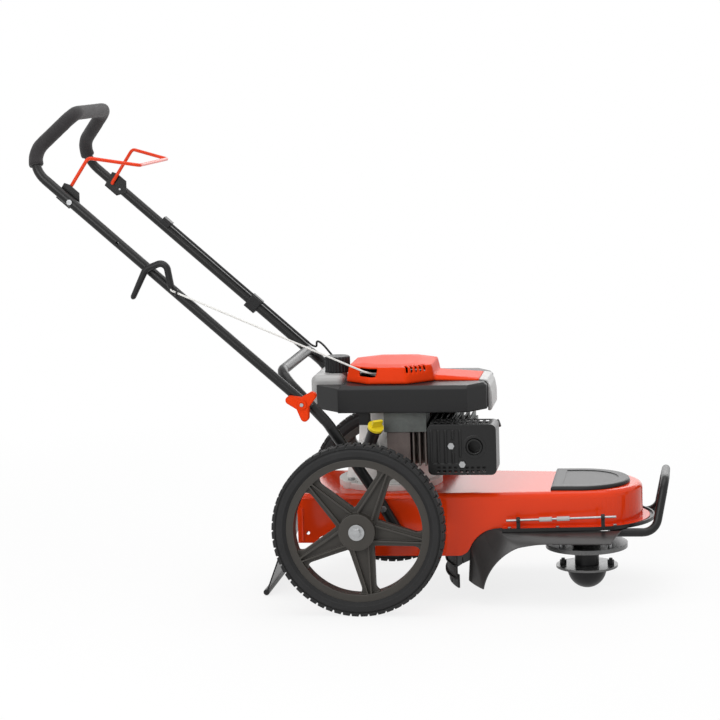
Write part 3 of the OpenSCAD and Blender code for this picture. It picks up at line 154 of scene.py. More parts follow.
def swept_mesh(name, points, sides, radius_at, side=None):
    """A closed tube of rings along the points; radius_at(share, angle, ring) gives each radius.
    The angle starts at the given side, which is square to the first run."""
    tangent = (points[1] - points[0]).normalized()
    side = side or tangent.orthogonal().normalized()
    verts, faces = [], []
    last = len(points) - 1
    for i, point in enumerate(points):
        ahead = (points[min(i + 1, last)] - points[max(i - 1, 0)]).normalized()
        side = (tangent.rotation_difference(ahead) @ side).normalized()
        tangent = ahead
        other = tangent.cross(side)
        for k in range(sides):
            angle = 2 * math.pi * k / sides
            r = radius_at(i / last, angle, i)
            verts.append(point + (side * math.cos(angle) + other * math.sin(angle)) * r)
    for i in range(last):
        for k in range(sides):
            a, b = i * sides + k, i * sides + (k + 1) % sides
            faces.append((a, b, b + sides, a + sides))
    faces.append(tuple(reversed(range(sides))))
    faces.append(tuple(range(last * sides, (last + 1) * sides)))
    piece = add_piece(name, verts, faces)
    for face in piece.data.polygons:
        face.use_smooth = len(face.vertices) == 4
    return piece


# %% [markdown]
# ## Starter rope
# A thin laid rope runs straight from the window of the recoil cover to an eye on the
# handle tube, and from there into the pull grip. It crosses the handle's fold joint and
# the grip's pull, so it is made in two lengths: one runs from the cover to the eye, and a
# short one from the eye into the grip. A third piece is the rest of the rope, wound on the
# recoil pulley inside the cover.

# %% Starter rope
ROPE_RADIUS, ROPE_STRANDS, ROPE_PITCH, ROPE_VALLEY = 0.00225, 3, 0.014, 0.86
ROPE_STEP, ROPE_SIDES, DRAW_STEP = 0.0016, 18, 0.0002
WINDOW_BEND, EYE_BEND = 0.06, 0.006
rope_window = at_axle(6, -102, 511)
rope_tangent = at_axle(72.4711, -33.4027, 497)
rope_eye = at_axle(-391.782, -239.469, 713.791)
rope_corner = at_axle(-402, -243, 719)
rope_top = at_axle(-404.7, -243, 745.5)


def twisted(step):
    """The radius of a laid rope: round strands that turn with the distance along it."""
    def radius(share, angle, ring):
        turn = angle * ROPE_STRANDS / 2 - math.pi * ROPE_STRANDS * ring * step / ROPE_PITCH
        return ROPE_RADIUS * (ROPE_VALLEY + (1 - ROPE_VALLEY) * abs(math.cos(turn)))
    return radius


rope_points = rounded_line([rope_tangent, rope_window, rope_eye], [WINDOW_BEND], ROPE_STEP)
rope = swept_mesh("starter_rope_run", rope_points, ROPE_SIDES, twisted(ROPE_STEP))
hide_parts("starter_rope")

draw_points = rounded_line([rope_eye, rope_corner, rope_top], [EYE_BEND], DRAW_STEP)
rope_draw = swept_mesh("starter_rope_draw", draw_points, ROPE_SIDES, twisted(ROPE_STEP))
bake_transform(rope_draw)
print("rope into the grip:", round(line_length(draw_points), 3))

# %% Wound rope
PULLEY_CENTRE = at_axle(38, 0, 497)
COIL_RADIUS, COIL_TURNS, COIL_LAYER = 0.048, 3, 0.0047
COIL_RINGS, COIL_SIDES, COIL_STEP = 90, 12, 0.0033
coil_start = rope_tangent - PULLEY_CENTRE
coil_points = []
for i in range(COIL_TURNS * COIL_RINGS + 1):
    turns = i / COIL_RINGS
    angle = math.atan2(coil_start.y, coil_start.x) + 2 * math.pi * turns
    reach = COIL_RADIUS - COIL_LAYER * turns
    coil_points.append(PULLEY_CENTRE + Vector((math.cos(angle), math.sin(angle), 0)) * reach)
rope_coil = swept_mesh("starter_rope_coil", coil_points, COIL_SIDES, twisted(COIL_STEP))
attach(rope_coil, "recoil_pulley")
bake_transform(rope)

# %% [markdown]
# ## Bail cable
# The control cable lies along the left handle tube, then leaves its clip in a free loop down
# to the engine. Only the free part has to bend when the handle folds, so it alone is
# replaced. Short straight runs joined by round bends give the relaxed loop of a stiff cable,
# and keep every bend wider than the cable can bear.

# %% Bail cable
CABLE_RADIUS, CABLE_SIDES, CABLE_STEP = 0.0025, 14, 0.003
CABLE_BENDS = [0.019, 0.030]
cable_corners = [
    at_axle(-180.401, 212, 539.915), at_axle(-162.51, 212, 523.918),
    at_axle(-150, 150, 562), at_axle(-60.5, 126, 458),
]


def cable_radius(share, angle, ring):
    return CABLE_RADIUS


cable_points = rounded_line(cable_corners, CABLE_BENDS, CABLE_STEP)
cable = swept_mesh("bail_cable_loop", cable_points, CABLE_SIDES, cable_radius)
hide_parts("cable_lower")
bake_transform(cable)

# %% [markdown]
# ## Foam grip
# The sleeve on the top of the handle is closed-cell foam pushed over the tube. It is softly
# uneven, and its cut ends flare a little. Displacing a curve's bevel would also move its ends, so
# a sweep whose radius changes by a small noise gives all of that in one mesh.

# %% Foam grip
FOAM_RADIUS, FOAM_INSET, FOAM_SIDES, FOAM_STEP = 0.016, 0.0003, 32, 0.003
FOAM_LEG, FOAM_CUT = 0.12, 0.7
LUMP_HEIGHT, LUMP_SCALE, LUMP_TURN = 0.0004, 90, 1.3
FLARE_HEIGHT, FLARE_RINGS, END_TUCK = 0.0007, 5, 0.0012
CORNER_BEND, TOP_BEND = 0.060, 0.050
grip_corner = at_axle(-726.317, -220, 1006.56)
grip_top = at_axle(-632.317, -132, 1107.56)
handle_run = Vector((0.745476, 0, -0.666532))


def mirrored(point):
    return Vector((point.x, -point.y, point.z))


near_half = [grip_corner + handle_run * FOAM_LEG, grip_corner, grip_top]
grip_line = rounded_line(
    near_half + [mirrored(point) for point in reversed(near_half)],
    [CORNER_BEND, TOP_BEND, TOP_BEND, CORNER_BEND], FOAM_STEP,
)
foam_low, foam_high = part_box("foam_grip")
sleeve_low = foam_low[2] + FOAM_RADIUS * FOAM_CUT
covered = [i for i, point in enumerate(grip_line) if point.z > sleeve_low]
foam_points = grip_line[covered[0]:covered[-1] + 1]


def foam_radius(share, angle, ring):
    place = foam_points[ring] * LUMP_SCALE + Vector((0, angle * LUMP_TURN, 0))
    from_end = min(ring, len(foam_points) - 1 - ring)
    flare = FLARE_HEIGHT * max(0, 1 - from_end / FLARE_RINGS)
    tuck = END_TUCK if from_end == 0 else 0
    return FOAM_RADIUS - FOAM_INSET + LUMP_HEIGHT * noise.noise(place) + flare - tuck


foam = swept_mesh("foam_sleeve", foam_points, FOAM_SIDES, foam_radius)
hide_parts("foam_grip")
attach(foam, "upper_handle")
print("foam sleeve:", round(line_length(foam_points), 3), "box", foam_low, foam_high)

# %% [markdown]
# ## Starter grip
# The pull grip is a moulded hook: a flat finger bar that narrows to its free end, a wide
# bend, and a leg that the rope enters. Its CAD solid is three straight hulls. A sweep with an oval
# section gives the same hook with round bends, a tapering bar and domed ends.

# %% Helpers for moulded bars
DOME_LEAST = 0.02


def oval(angle, wide, thick):
    return wide * thick / math.hypot(thick * math.cos(angle), wide * math.sin(angle))


def domed(share, length, reach):
    """1 along a bar, falling in a round dome over the last stretch of either end."""
    from_end = min(share, 1 - share) * length
    return math.sqrt(max(DOME_LEAST, 1 - max(0, 1 - from_end / reach) ** 2))


# %% Starter grip
HOOK_HALF_WIDE, HOOK_HALF_THICK, HOOK_DOME = 0.0095, 0.0075, 0.0075
HOOK_SIDE, HOOK_LINE = -243, ((-487, 707), (-457, 767), (-411, 784), (-402, 729))
HOOK_BENDS, HOOK_STEP, HOOK_SIDES, DOME_SHARE = [0.022, 0.016], 0.0009, 28, 0.9
WIDE_SHARES, FINGER_SHARES, FINGER_END = (1.04, 0.98), (0.80, 1.0), 0.40
hook_corners = [at_axle(x, HOOK_SIDE, z) for x, z in HOOK_LINE]
for end, inner in ((0, 1), (3, 2)):
    outward = (hook_corners[end] - hook_corners[inner]).normalized()
    hook_corners[end] += outward * HOOK_DOME * DOME_SHARE
hook_points = rounded_line(hook_corners, HOOK_BENDS, HOOK_STEP)
hook_length = line_length(hook_points)


def hook_radius(share, angle, ring):
    wide = HOOK_HALF_WIDE * partway(WIDE_SHARES, share)
    thick = HOOK_HALF_THICK * partway(FINGER_SHARES, min(1, share / FINGER_END))
    return domed(share, hook_length, HOOK_DOME) * oval(angle, wide, thick)


hook = swept_mesh("starter_hook", hook_points, HOOK_SIDES, hook_radius, side=Vector((0, 1, 0)))
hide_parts("starter_grip")
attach(hook, "starter")
print("starter hook:", round(hook_length, 3))

# %% [markdown]
# ## Recoil cover
# The orange cover and the pale cap at its end are mouldings, and every edge of them is round.
# Their CAD solids have crisp edges. A bevel modifier stumbles over the vents, so copies of
# the solids' meshes are remeshed in small voxels, smoothed until the edges have a radius of a few
# millimetres, and thinned out again. The points then move in height only: the dome gets a flatter
# crown over a higher shoulder, and the tail becomes a wedge that runs out at the cap.

# %% Helper for rounded copies
EASE_VOXEL, EASE_FACTOR, EASE_KEEP = 0.0012, 0.5, 0.16


def eased_copy(name, node, passes):
    """A copy of a node's mesh whose edges are rounded by a fine remesh and smoothing."""
    piece = bpy.data.objects.new(name, nodes[node].data.copy())
    bpy.context.scene.collection.objects.link(piece)
    remesh = piece.modifiers.new("remesh", "REMESH")
    remesh.mode = "VOXEL"
    remesh.voxel_size = EASE_VOXEL
    ease = piece.modifiers.new("ease", "SMOOTH")
    ease.factor, ease.iterations = EASE_FACTOR, passes
    thin = piece.modifiers.new("thin", "DECIMATE")
    thin.ratio = EASE_KEEP
    made = piece.evaluated_get(bpy.context.evaluated_depsgraph_get())
    mesh = bpy.data.meshes.new_from_object(made)
    piece.modifiers.clear()
    piece.data = mesh
    mesh.materials.clear()
    for face in mesh.polygons:
        face.use_smooth = True
    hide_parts(node)
    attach(piece, "chassis")
    return piece


# %% Recoil cover
COVER_PASSES, CAP_PASSES = 40, 24
COVER_FOOT, COVER_SHOULDER, COVER_WALL = 0.487, 0.520, 0.003
SHOULDER_LIFT, CROWN_SHARE, INSIDE_SLOPE = 0.004, 0.2, 3
TAIL_START, TAIL_END, TAIL_SHARES = at_axle(150, 0, 0).x, at_axle(252, 0, 0).x, (1.12, 0.4)


def cover_height(point):
    """The height that a point of the cover or its cap moves to."""
    above = point.z - COVER_FOOT
    if above <= 0:
        return point.z
    if point.x > TAIL_START:
        along = min(1, (point.x - TAIL_START) / (TAIL_END - TAIL_START))
        return COVER_FOOT + above * partway(TAIL_SHARES, along)
    side = COVER_SHOULDER - COVER_FOOT
    lift = SHOULDER_LIFT * min(1, above / side)
    return COVER_FOOT + min(above, side) + lift + CROWN_SHARE * max(0, above - side)


cover = eased_copy("rounded_cover", "recoil_cover", COVER_PASSES)
cap = eased_copy("rounded_cap", "cowl_cap", CAP_PASSES)
for piece in (cover, cap):
    points = piece.data.vertices
    facing_down = [min(1, max(0, -INSIDE_SLOPE * point.normal.z)) for point in points]
    for point, share in zip(points, facing_down):
        wall = COVER_WALL * share
        point.co.z = cover_height(point.co + Vector((0, 0, wall))) - wall
    print(piece.name, len(piece.data.polygons), "faces")

# %% [markdown]
# ## Muffler ribs
# The pressed front of the muffler guard is stiffened by upright beads beside its grooves. They
# are only as proud as the sheet is thick, so they are added here, not in the CAD model: low oval
# bars with domed ends, sunk to half their depth in the sheet.

# %% Muffler ribs
GUARD_FACE, BEAD_HALF_WIDE, BEAD_PROUD, BEAD_DOME = -195, 0.0031, 0.0019, 0.004
BEAD_STEP, BEAD_SIDES = 0.001, 20
BEADS = (
    (156, 322, 398), (172, 322, 398), (188, 322, 398),
    (204, 374, 398), (204, 322, 350), (220, 336, 398),
)


def bead_radius(length):
    def radius(share, angle, ring):
        return domed(share, length, BEAD_DOME) * oval(angle, BEAD_HALF_WIDE, BEAD_PROUD)
    return radius


beads = []
for number, (x, low, top) in enumerate(BEADS):
    line = rounded_line([at_axle(x, GUARD_FACE, z) for z in (low, top)], [], BEAD_STEP)
    radius_at = bead_radius(line_length(line))
    name = f"muffler_rib_{number}"
    bead = swept_mesh(name, line, BEAD_SIDES, radius_at, side=Vector((1, 0, 0)))
    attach(bead, "chassis")
    beads.append(bead)
print("muffler ribs:", len(beads))

# %% [markdown]
# ## Side wings
# The flared wings are thin moulded sheets that turn from the deck's lower edge into a wide lip.
# The CAD model has them in flat facets, which show as streaks under gloss. The same two edges,
# an arc and a straight run each, are sampled finely here, joined by a slightly crowned sheet,
# and given their thickness along the surface's own normal. A loft keeps the edges exact,
# which a subdivision surface would pull in.

# %% Edges of the side wings
WING_STATIONS, WING_SAMPLES, EDGE_PASSES = 15, 8, 10
DECK_HALF, DECK_TAPER, TAPER_START, TAPER_RUN = 150, 28, 180, 308
WING_TUCK, RIM_STEP, RIM_START, RIM_RUN = 3, 27, 262, 43
WING_HEEL, SWEEP_CENTRE, SWEEP_RADIUS = (226, 48), (295.747, 96), 70.3
SWEEP_ANGLES, SWEEP_FIRST, SWEEP_LAST = (157.818, 90), 1, 11
LIP_CENTRE, LIP_RADIUS, LIP_ANGLES, LIP_LAST, LIP_SIDE = (389, 12), 130, (168, 110), 12, 190
INNER_RUN = (
    (295.747, 166.3), (303.854, 161.7), (341.69, 161.7), (403.848, 161.7), (566, 161.7),
)
OUTER_RUN = ((344.537, 134.16), (389, 142), (435.8, 142), (545, 142))


def between(a, b, share):
    return tuple(partway(ends, share) for ends in zip(a, b))


def on_arc(centre, radius, degrees):
    turn = math.radians(degrees)
    return centre[0] + radius * math.cos(turn), centre[1] + radius * math.sin(turn)


def on_run(run, along):
    first = min(int(along), len(run) - 2)
    return between(run[first], run[first + 1], along - first)


def ramp(x, start, run):
    """0 before start, 1 after the run, and even between."""
    return min(1, max(0, (x - start) / run))


def deck_edge(x):
    """How far the wing's inner edge lies from the middle, at x."""
    half = DECK_HALF - DECK_TAPER * ramp(x, TAPER_START, TAPER_RUN)
    return half - WING_TUCK + RIM_STEP * ramp(x, RIM_START, RIM_RUN)


def wing_edges(station):
    """The inner and outer edge points at a station along the wing."""
    if station < SWEEP_FIRST:
        arc_start = on_arc(SWEEP_CENTRE, SWEEP_RADIUS, SWEEP_ANGLES[0])
        inner = between(WING_HEEL, arc_start, station)
    elif station < SWEEP_LAST:
        share = (station - SWEEP_FIRST) / (SWEEP_LAST - SWEEP_FIRST)
        inner = on_arc(SWEEP_CENTRE, SWEEP_RADIUS, partway(SWEEP_ANGLES, share))
    else:
        inner = on_run(INNER_RUN, station - SWEEP_LAST)
    if station < LIP_LAST:
        outer = on_arc(LIP_CENTRE, LIP_RADIUS, partway(LIP_ANGLES, station / LIP_LAST))
    else:
        outer = on_run(OUTER_RUN, station - LIP_LAST)
    deck_side = -deck_edge(inner[0])
    return at_axle(inner[0], deck_side, inner[1]), at_axle(outer[0], -LIP_SIDE, outer[1])


def eased(points, passes):
    """The points with their kinks eased, and both ends kept."""
    for _ in range(passes):
        middle = [(a + b * 2 + c) / 4 for a, b, c in zip(points, points[1:], points[2:])]
        points = [points[0], *middle, points[-1]]
    return points


count = WING_STATIONS * WING_SAMPLES
edges = [wing_edges(WING_STATIONS * i / count) for i in range(count + 1)]
inner_edge, outer_edge = (eased([pair[k] for pair in edges], EDGE_PASSES) for k in (0, 1))
print("wing edges:", [round(line_length(edge), 3) for edge in (inner_edge, outer_edge)])

# %% Side wings
WING_ACROSS, WING_SHEET, WING_CROWN = 10, 0.0028, 0.003
SHARP_EDGE = math.radians(40)
wide, layer = WING_ACROSS + 1, (count + 1) * (WING_ACROSS + 1)
rows = [
    [a.lerp(b, k / WING_ACROSS) for k in range(wide)] for a, b in zip(inner_edge, outer_edge)]


def sheet_normal(i, k):
    along = rows[min(i + 1, count)][k] - rows[max(i - 1, 0)][k]
    across = rows[i][min(k + 1, WING_ACROSS)] - rows[i][max(k - 1, 0)]
    return across.cross(along).normalized()


verts, faces = [], []
for lift in (0, -WING_SHEET):
    for i, row in enumerate(rows):
        for k, point in enumerate(row):
            share = k / WING_ACROSS
            crown = 4 * WING_CROWN * share * (1 - share)
            verts.append(point + sheet_normal(i, k) * (lift + crown))
for i in range(count):
    for k in range(WING_ACROSS):
        a, b = i * wide + k, (i + 1) * wide + k
        faces += [(a, a + 1, b + 1, b), (layer + a, layer + b, layer + b + 1, layer + a + 1)]
    for k in (0, WING_ACROSS):
        a, b = i * wide + k, (i + 1) * wide + k
        rim = (a, b, layer + b, layer + a)
        faces.append(rim if k == 0 else rim[::-1])
for i in (0, count):
    for k in range(WING_ACROSS):
        a = i * wide + k
        rim = (a, layer + a, layer + a + 1, a + 1)
        faces.append(rim if i == 0 else rim[::-1])
far = len(verts)
verts += [mirrored(point) for point in verts]
faces += [tuple(far + i for i in reversed(face)) for face in faces]
wings = add_piece("flared_wings", verts, faces)
for face in wings.data.polygons:
    face.use_smooth = True
wings.data.set_sharp_from_angle(angle=SHARP_EDGE)
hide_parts("side_wings")
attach(wings, "chassis")
print("wings:", len(faces), "faces; thickness", WING_SHEET)

# %% [markdown]
# ## Plate bolts
# Three small bolts hold the base plate's rim on each side of the deck. They only hold sheet to
# sheet, so the CAD model leaves them out. Each one here is a stack of rings: a round washer, and a
# hexagon on it whose top edge is broken by a chamfer. Rings make closed meshes with no booleans.

# %% Plate bolts
PLATE_TOP, RIM_MIDDLE = 166, 13
BOLT_PLACES = ((320, 137.3), (426, 127.6), (551, 106.4))
WASHER_SIDES, WASHER_RINGS = 24, ((0.0058, 0), (0.0058, 0.0011), (0.0055, 0.0014))
HEAD_SIDES, HEAD_RINGS = 6, ((0.0045, 0.0014), (0.0045, 0.0048), (0.00387, 0.0056))


def stacked_rings(rings, sides, centre, verts, faces):
    """Adds a closed stack of (radius, height) rings about a vertical line."""
    first = len(verts)
    for radius, height in rings:
        for k in range(sides):
            angle = 2 * math.pi * k / sides
            offset = Vector((radius * math.cos(angle), radius * math.sin(angle), height))
            verts.append(centre + offset)
    for i in range(len(rings) - 1):
        for k in range(sides):
            a, b = first + i * sides + k, first + i * sides + (k + 1) % sides
            faces.append((a, b, b + sides, a + sides))
    top = first + (len(rings) - 1) * sides
    faces.append(tuple(reversed(range(first, first + sides))))
    faces.append(tuple(range(top, top + sides)))


verts, faces = [], []
for x, deck_side in BOLT_PLACES:
    for side in (-1, 1):
        foot = at_axle(x, side * (deck_side + RIM_MIDDLE), PLATE_TOP)
        stacked_rings(WASHER_RINGS, WASHER_SIDES, foot, verts, faces)
        stacked_rings(HEAD_RINGS, HEAD_SIDES, foot, verts, faces)
plate_bolts = add_piece("plate_bolts", verts, faces)
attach(plate_bolts, "chassis")
print("plate bolts:", 2 * len(BOLT_PLACES))

# %% [markdown]
# ## Finishes
# Every finish starts from the Principled shader and adds what the real one shows: a slight
# change of colour from place to place, a grain in the gloss, a fine bump, and edges that are a
# little lighter where they rub. The edge mask compares the true normal with the one that
# a Bevel node rounds off, so it finds edges on any CAD mesh without extra geometry.

# %% Helpers for nodes
def add_noise(tree, scale, detail=4.0, roughness=0.6):
    """A noise texture in the piece's own metres."""
    texture = tree.nodes.new("ShaderNodeTexNoise")
    texture.inputs["Scale"].default_value = scale
    texture.inputs["Detail"].default_value = detail
    texture.inputs["Roughness"].default_value = roughness
    place = tree.nodes.new("ShaderNodeTexCoord").outputs["Object"]
    tree.links.new(place, texture.inputs["Vector"])
    return texture.outputs["Fac"]


def ranged(tree, value, low, high, start=0.3, end=0.7):
    """The value carried from start..end to low..high."""
    node = tree.nodes.new("ShaderNodeMapRange")
    numbers = {"From Min": start, "From Max": end, "To Min": low, "To Max": high}
    for name, number in numbers.items():
        node.inputs[name].default_value = number
    tree.links.new(value, node.inputs["Value"])
    return node.outputs["Result"]


def combined(tree, operation, first, second):
    """Two values joined by a Math node; the second is a number or a socket."""
    node = tree.nodes.new("ShaderNodeMath")
    node.operation = operation
    tree.links.new(first, node.inputs[0])
    if isinstance(second, float):
        node.inputs[1].default_value = second
    else:
        tree.links.new(second, node.inputs[1])
    return node.outputs[0]


def mixed(tree, share, first, second):
    """A colour between two others; each is a colour or a socket."""
    node = tree.nodes.new("ShaderNodeMix")
    node.data_type = "RGBA"
    tree.links.new(share, node.inputs["Factor"])
    for socket, colour in ((node.inputs[6], first), (node.inputs[7], second)):
        if isinstance(colour, (tuple, list)):
            socket.default_value = (*colour, 1)
        else:
            tree.links.new(colour, socket)
    return node.outputs[2]


# %% Helpers for finishes
EDGE_SAMPLES, EDGE_ON, EDGE_OFF = 8, 0.86, 0.995


def shade(colour, amount):
    return tuple(min(1, c * amount) for c in colour)


def patched(tree, colour, patchy, scale):
    """The colour, a little darker and lighter from place to place."""
    patches = ranged(tree, add_noise(tree, scale), 0, 1)
    return mixed(tree, patches, shade(colour, 1 - patchy), shade(colour, 1 + patchy))


def edge_mask(tree, radius):
    """Near 1 on edges, 0 on flats, from the difference of rounded and true normals."""
    bevel = tree.nodes.new("ShaderNodeBevel")
    bevel.samples = EDGE_SAMPLES
    bevel.inputs["Radius"].default_value = radius
    geometry = tree.nodes.new("ShaderNodeNewGeometry")
    dot = tree.nodes.new("ShaderNodeVectorMath")
    dot.operation = "DOT_PRODUCT"
    tree.links.new(bevel.outputs["Normal"], dot.inputs[0])
    tree.links.new(geometry.outputs["Normal"], dot.inputs[1])
    mask = ranged(tree, dot.outputs["Value"], 1, 0, start=EDGE_ON, end=EDGE_OFF)
    return mask, bevel.outputs["Normal"]


def new_finish(name, colour, gloss, patchy=0.06, patch_scale=9, grain=400, bump=0.08,
               depth=0.0004, edge=None, edge_radius=0.0015, edge_share=0.5, **sockets):
    """A Principled finish with patchy colour, grain in roughness and bump, and rubbed edges."""
    finish = bpy.data.materials.new(name)
    finish.use_nodes = True
    tree = finish.node_tree
    shader = tree.nodes["Principled BSDF"]
    shown = patched(tree, colour, patchy, patch_scale)
    fine = add_noise(tree, grain, detail=3)
    tree.links.new(ranged(tree, fine, *gloss), shader.inputs["Roughness"])
    relief = tree.nodes.new("ShaderNodeBump")
    relief.inputs["Strength"].default_value = bump
    relief.inputs["Distance"].default_value = depth
    tree.links.new(fine, relief.inputs["Height"])
    if edge:
        rub, rounded = edge_mask(tree, edge_radius)
        shown = mixed(tree, combined(tree, "MULTIPLY", rub, edge_share), shown, edge)
        tree.links.new(rounded, relief.inputs["Normal"])
    tree.links.new(shown, shader.inputs["Base Color"])
    tree.links.new(relief.outputs["Normal"], shader.inputs["Normal"])
    for socket, value in sockets.items():
        shader.inputs[socket.replace("_", " ")].default_value = value
    return finish


# %% [markdown]
# ### The finishes themselves
# The colours are linear values. The orange is a glossy coat over steel on the deck and the bail,
# and a calmer moulded plastic on the recoil cover and knobs; the blacks differ mostly in gloss.

# %% Finishes
ORANGE = (0.76, 0.046, 0.006)
finishes = {
    "orange_paint": new_finish(
        "orange_paint", ORANGE, (0.11, 0.18), patchy=0.03, patch_scale=4, grain=170, bump=0.05,
        depth=0.0003, edge=shade(ORANGE, 1.2), edge_radius=0.002, Specular_IOR_Level=0.22),
    "orange_plastic": new_finish(
        "orange_plastic", ORANGE, (0.3, 0.4), patchy=0.03, grain=700, bump=0.015,
        depth=0.0002, edge=shade(ORANGE, 1.1), edge_radius=0.007, edge_share=0.25,
        Specular_IOR_Level=0.04),
    "black_plastic": new_finish(
        "black_plastic", (0.011, 0.011, 0.0115), (0.32, 0.46), grain=1200, bump=0.25,
        depth=0.0002, edge=(0.036, 0.036, 0.038), edge_radius=0.004, Specular_IOR_Level=0.26),
    "black_paint": new_finish(
        "black_paint", (0.010, 0.010, 0.010), (0.26, 0.4), grain=500, bump=0.12, depth=0.0002,
        edge=(0.03, 0.03, 0.03), Specular_IOR_Level=0.28),
    "guard_plastic": new_finish(
        "guard_plastic", (0.026, 0.024, 0.0235), (0.28, 0.4), grain=900, bump=0.1, depth=0.0002,
        edge=(0.07, 0.066, 0.065), Specular_IOR_Level=0.42),
    "wheel_plastic": new_finish(
        "wheel_plastic", (0.040, 0.036, 0.031), (0.4, 0.55), grain=1100, bump=0.2, depth=0.0002,
        edge=(0.10, 0.093, 0.083), edge_radius=0.003, Specular_IOR_Level=0.3),
    "tyre_rubber": new_finish(
        "tyre_rubber", (0.018, 0.018, 0.0185), (0.55, 0.75), patchy=0.15, patch_scale=22,
        grain=800, bump=0.3, edge=(0.06, 0.06, 0.059), edge_radius=0.002,
        Specular_IOR_Level=0.25),
    "soft_rubber": new_finish(
        "soft_rubber", (0.012, 0.012, 0.012), (0.5, 0.7), grain=900, bump=0.25, depth=0.0003,
        edge=(0.04, 0.04, 0.04), Specular_IOR_Level=0.25),
    "foam": new_finish(
        "foam", (0.026, 0.024, 0.025), (0.72, 0.92), patchy=0.12, patch_scale=35, grain=1600,
        bump=0.6, depth=0.0005, Sheen_Weight=0.2, Sheen_Roughness=0.5, Specular_IOR_Level=0.2),
    "zinc_steel": new_finish(
        "zinc_steel", (0.36, 0.365, 0.37), (0.28, 0.46), patchy=0.12, patch_scale=160, grain=600,
        bump=0.12, depth=0.0002, edge=(0.55, 0.55, 0.55), edge_radius=0.0006, Metallic=1.0),
    "cast_alloy": new_finish(
        "cast_alloy", (0.66, 0.65, 0.63), (0.42, 0.6), patchy=0.1, patch_scale=30, grain=500,
        bump=0.5, depth=0.0006, edge=(0.76, 0.75, 0.73), edge_radius=0.002, Metallic=0.3),
    "pale_plastic": new_finish(
        "pale_plastic", (0.42, 0.42, 0.415), (0.3, 0.42), patchy=0.03, grain=900, bump=0.1,
        depth=0.0002, edge=(0.52, 0.52, 0.515), edge_radius=0.0025, Specular_IOR_Level=0.35),
    "guard_steel": new_finish(
        "guard_steel", (0.13, 0.13, 0.129), (0.2, 0.34), patchy=0.08, patch_scale=40, grain=500,
        bump=0.1, depth=0.0002, edge=(0.28, 0.28, 0.28), edge_radius=0.001, Metallic=0.6),
    "yellow_plastic": new_finish(
        "yellow_plastic", (0.80, 0.62, 0.02), (0.25, 0.36), patchy=0.03, grain=800, bump=0.06,
        depth=0.0002, edge=(0.85, 0.64, 0.04), edge_radius=0.0012, Specular_IOR_Level=0.3),
    "pale_cord": new_finish(
        "pale_cord", (0.80, 0.79, 0.76), (0.7, 0.9), patchy=0.12, patch_scale=300, grain=1500,
        bump=0.4, depth=0.0003),
}
rear_guard_finish = new_finish(
    "rear_guard_finish", (0.030, 0.028, 0.028), (0.55, 0.7), grain=700, bump=0.2, depth=0.0003,
    edge=(0.07, 0.066, 0.065), Specular_IOR_Level=0.2)
print("finishes:", len(finishes) + 1)

# %% [markdown]
# ### Heat-browned castings
# The engine is one casting, bare and silvery on its base, but its cylinder side is browned by
# heat and its upper cover plate is a grey-green steel. A second material would need the mesh
# cut up, so the colour is chosen by place instead: a mask is 1 above one plane of the piece's own
# frame and ahead of another.

# %% Engine colours by place
TINT_PATCHY, TINT_SCALE = 0.18, 45
HEAT_BROWN, FIN_BROWN = (0.135, 0.108, 0.100), (0.15, 0.128, 0.115)
PLATE_GREY = (0.115, 0.125, 0.118)
CASTING_TOP, PLATE_FOOT = (0.298, 0.300), (0.377, 0.3775)
side_start, fin_start, plate_start = (
    [at_axle(x, 0, 0).x for x in ends] for ends in ((42, 43), (98, 99), (37, 38)))


def beyond(tree, axis, start, end):
    """0 before start and 1 after end along one axis of the piece, in metres."""
    split = tree.nodes.new("ShaderNodeSeparateXYZ")
    place = tree.nodes.new("ShaderNodeTexCoord").outputs["Object"]
    tree.links.new(place, split.inputs[0])
    return ranged(tree, split.outputs[axis], 0, 1, start=start, end=end)


def tint(finish, colour, heights, lengths):
    """Puts a patchy colour over the finish, above the heights and ahead of the lengths."""
    tree = finish.node_tree
    base = tree.nodes["Principled BSDF"].inputs["Base Color"]
    below = base.links[0].from_socket
    over = patched(tree, colour, TINT_PATCHY, TINT_SCALE)
    above, ahead = beyond(tree, "Z", *heights), beyond(tree, "X", *lengths)
    mask = combined(tree, "MULTIPLY", above, ahead)
    tree.links.new(mixed(tree, mask, below, over), base)


engine_tints = (
    (HEAT_BROWN, CASTING_TOP, side_start),
    (FIN_BROWN, CASTING_TOP, fin_start),
    (PLATE_GREY, PLATE_FOOT, plate_start),
)
for colour, heights, lengths in engine_tints:
    tint(finishes["cast_alloy"], colour, heights, lengths)
print("engine colours by place:", len(engine_tints))

# %% [markdown]
# ### Giving the finishes to the pieces
# The imported record says which material slot each node takes, so a node's finish is looked up
# there. The pieces made above are given their slots in the list below.

# %% Finishes on the pieces
slot_of = {part["node"]: part["material_slot"] for part in frame["record"]["subparts"]}
for name, node in nodes.items():
    finish = rear_guard_finish if name == "rear_guard" else finishes[slot_of[name]]
    node.data.materials.clear()
    node.data.materials.append(finish)
for piece, slot in (
    (rope, "pale_cord"), (rope_draw, "pale_cord"), (rope_coil, "pale_cord"),
    (cable, "black_plastic"), (foam, "foam"), (plate_bolts, "zinc_steel"),
    (wings, "guard_plastic"), (hook, "black_plastic"), (cover, "orange_plastic"),
    (cap, slot_of["cowl_cap"]),
    *((bead, "black_paint") for bead in beads),
):
    piece.data.materials.append(finishes[slot])
print("dressed:", len(nodes), "nodes")

# %% [markdown]
# ## Studio
# The machine stands on a white sweep under broad soft lamps, like a catalogue picture. The
# floor takes a faint shadow, but mostly shows as plain white: for rays from the camera and for
# mirror-like rays, a part of its light is its own, and far out all of it. The world does the
# same, and lights the rest softly.

# %% Floor
FLOOR_HALF, PAPER_WHITE = 30, (0.93, 0.93, 0.93, 1)
OWN_LIGHT, FADE = (0.82, 1.0), (0.7, 2.5)


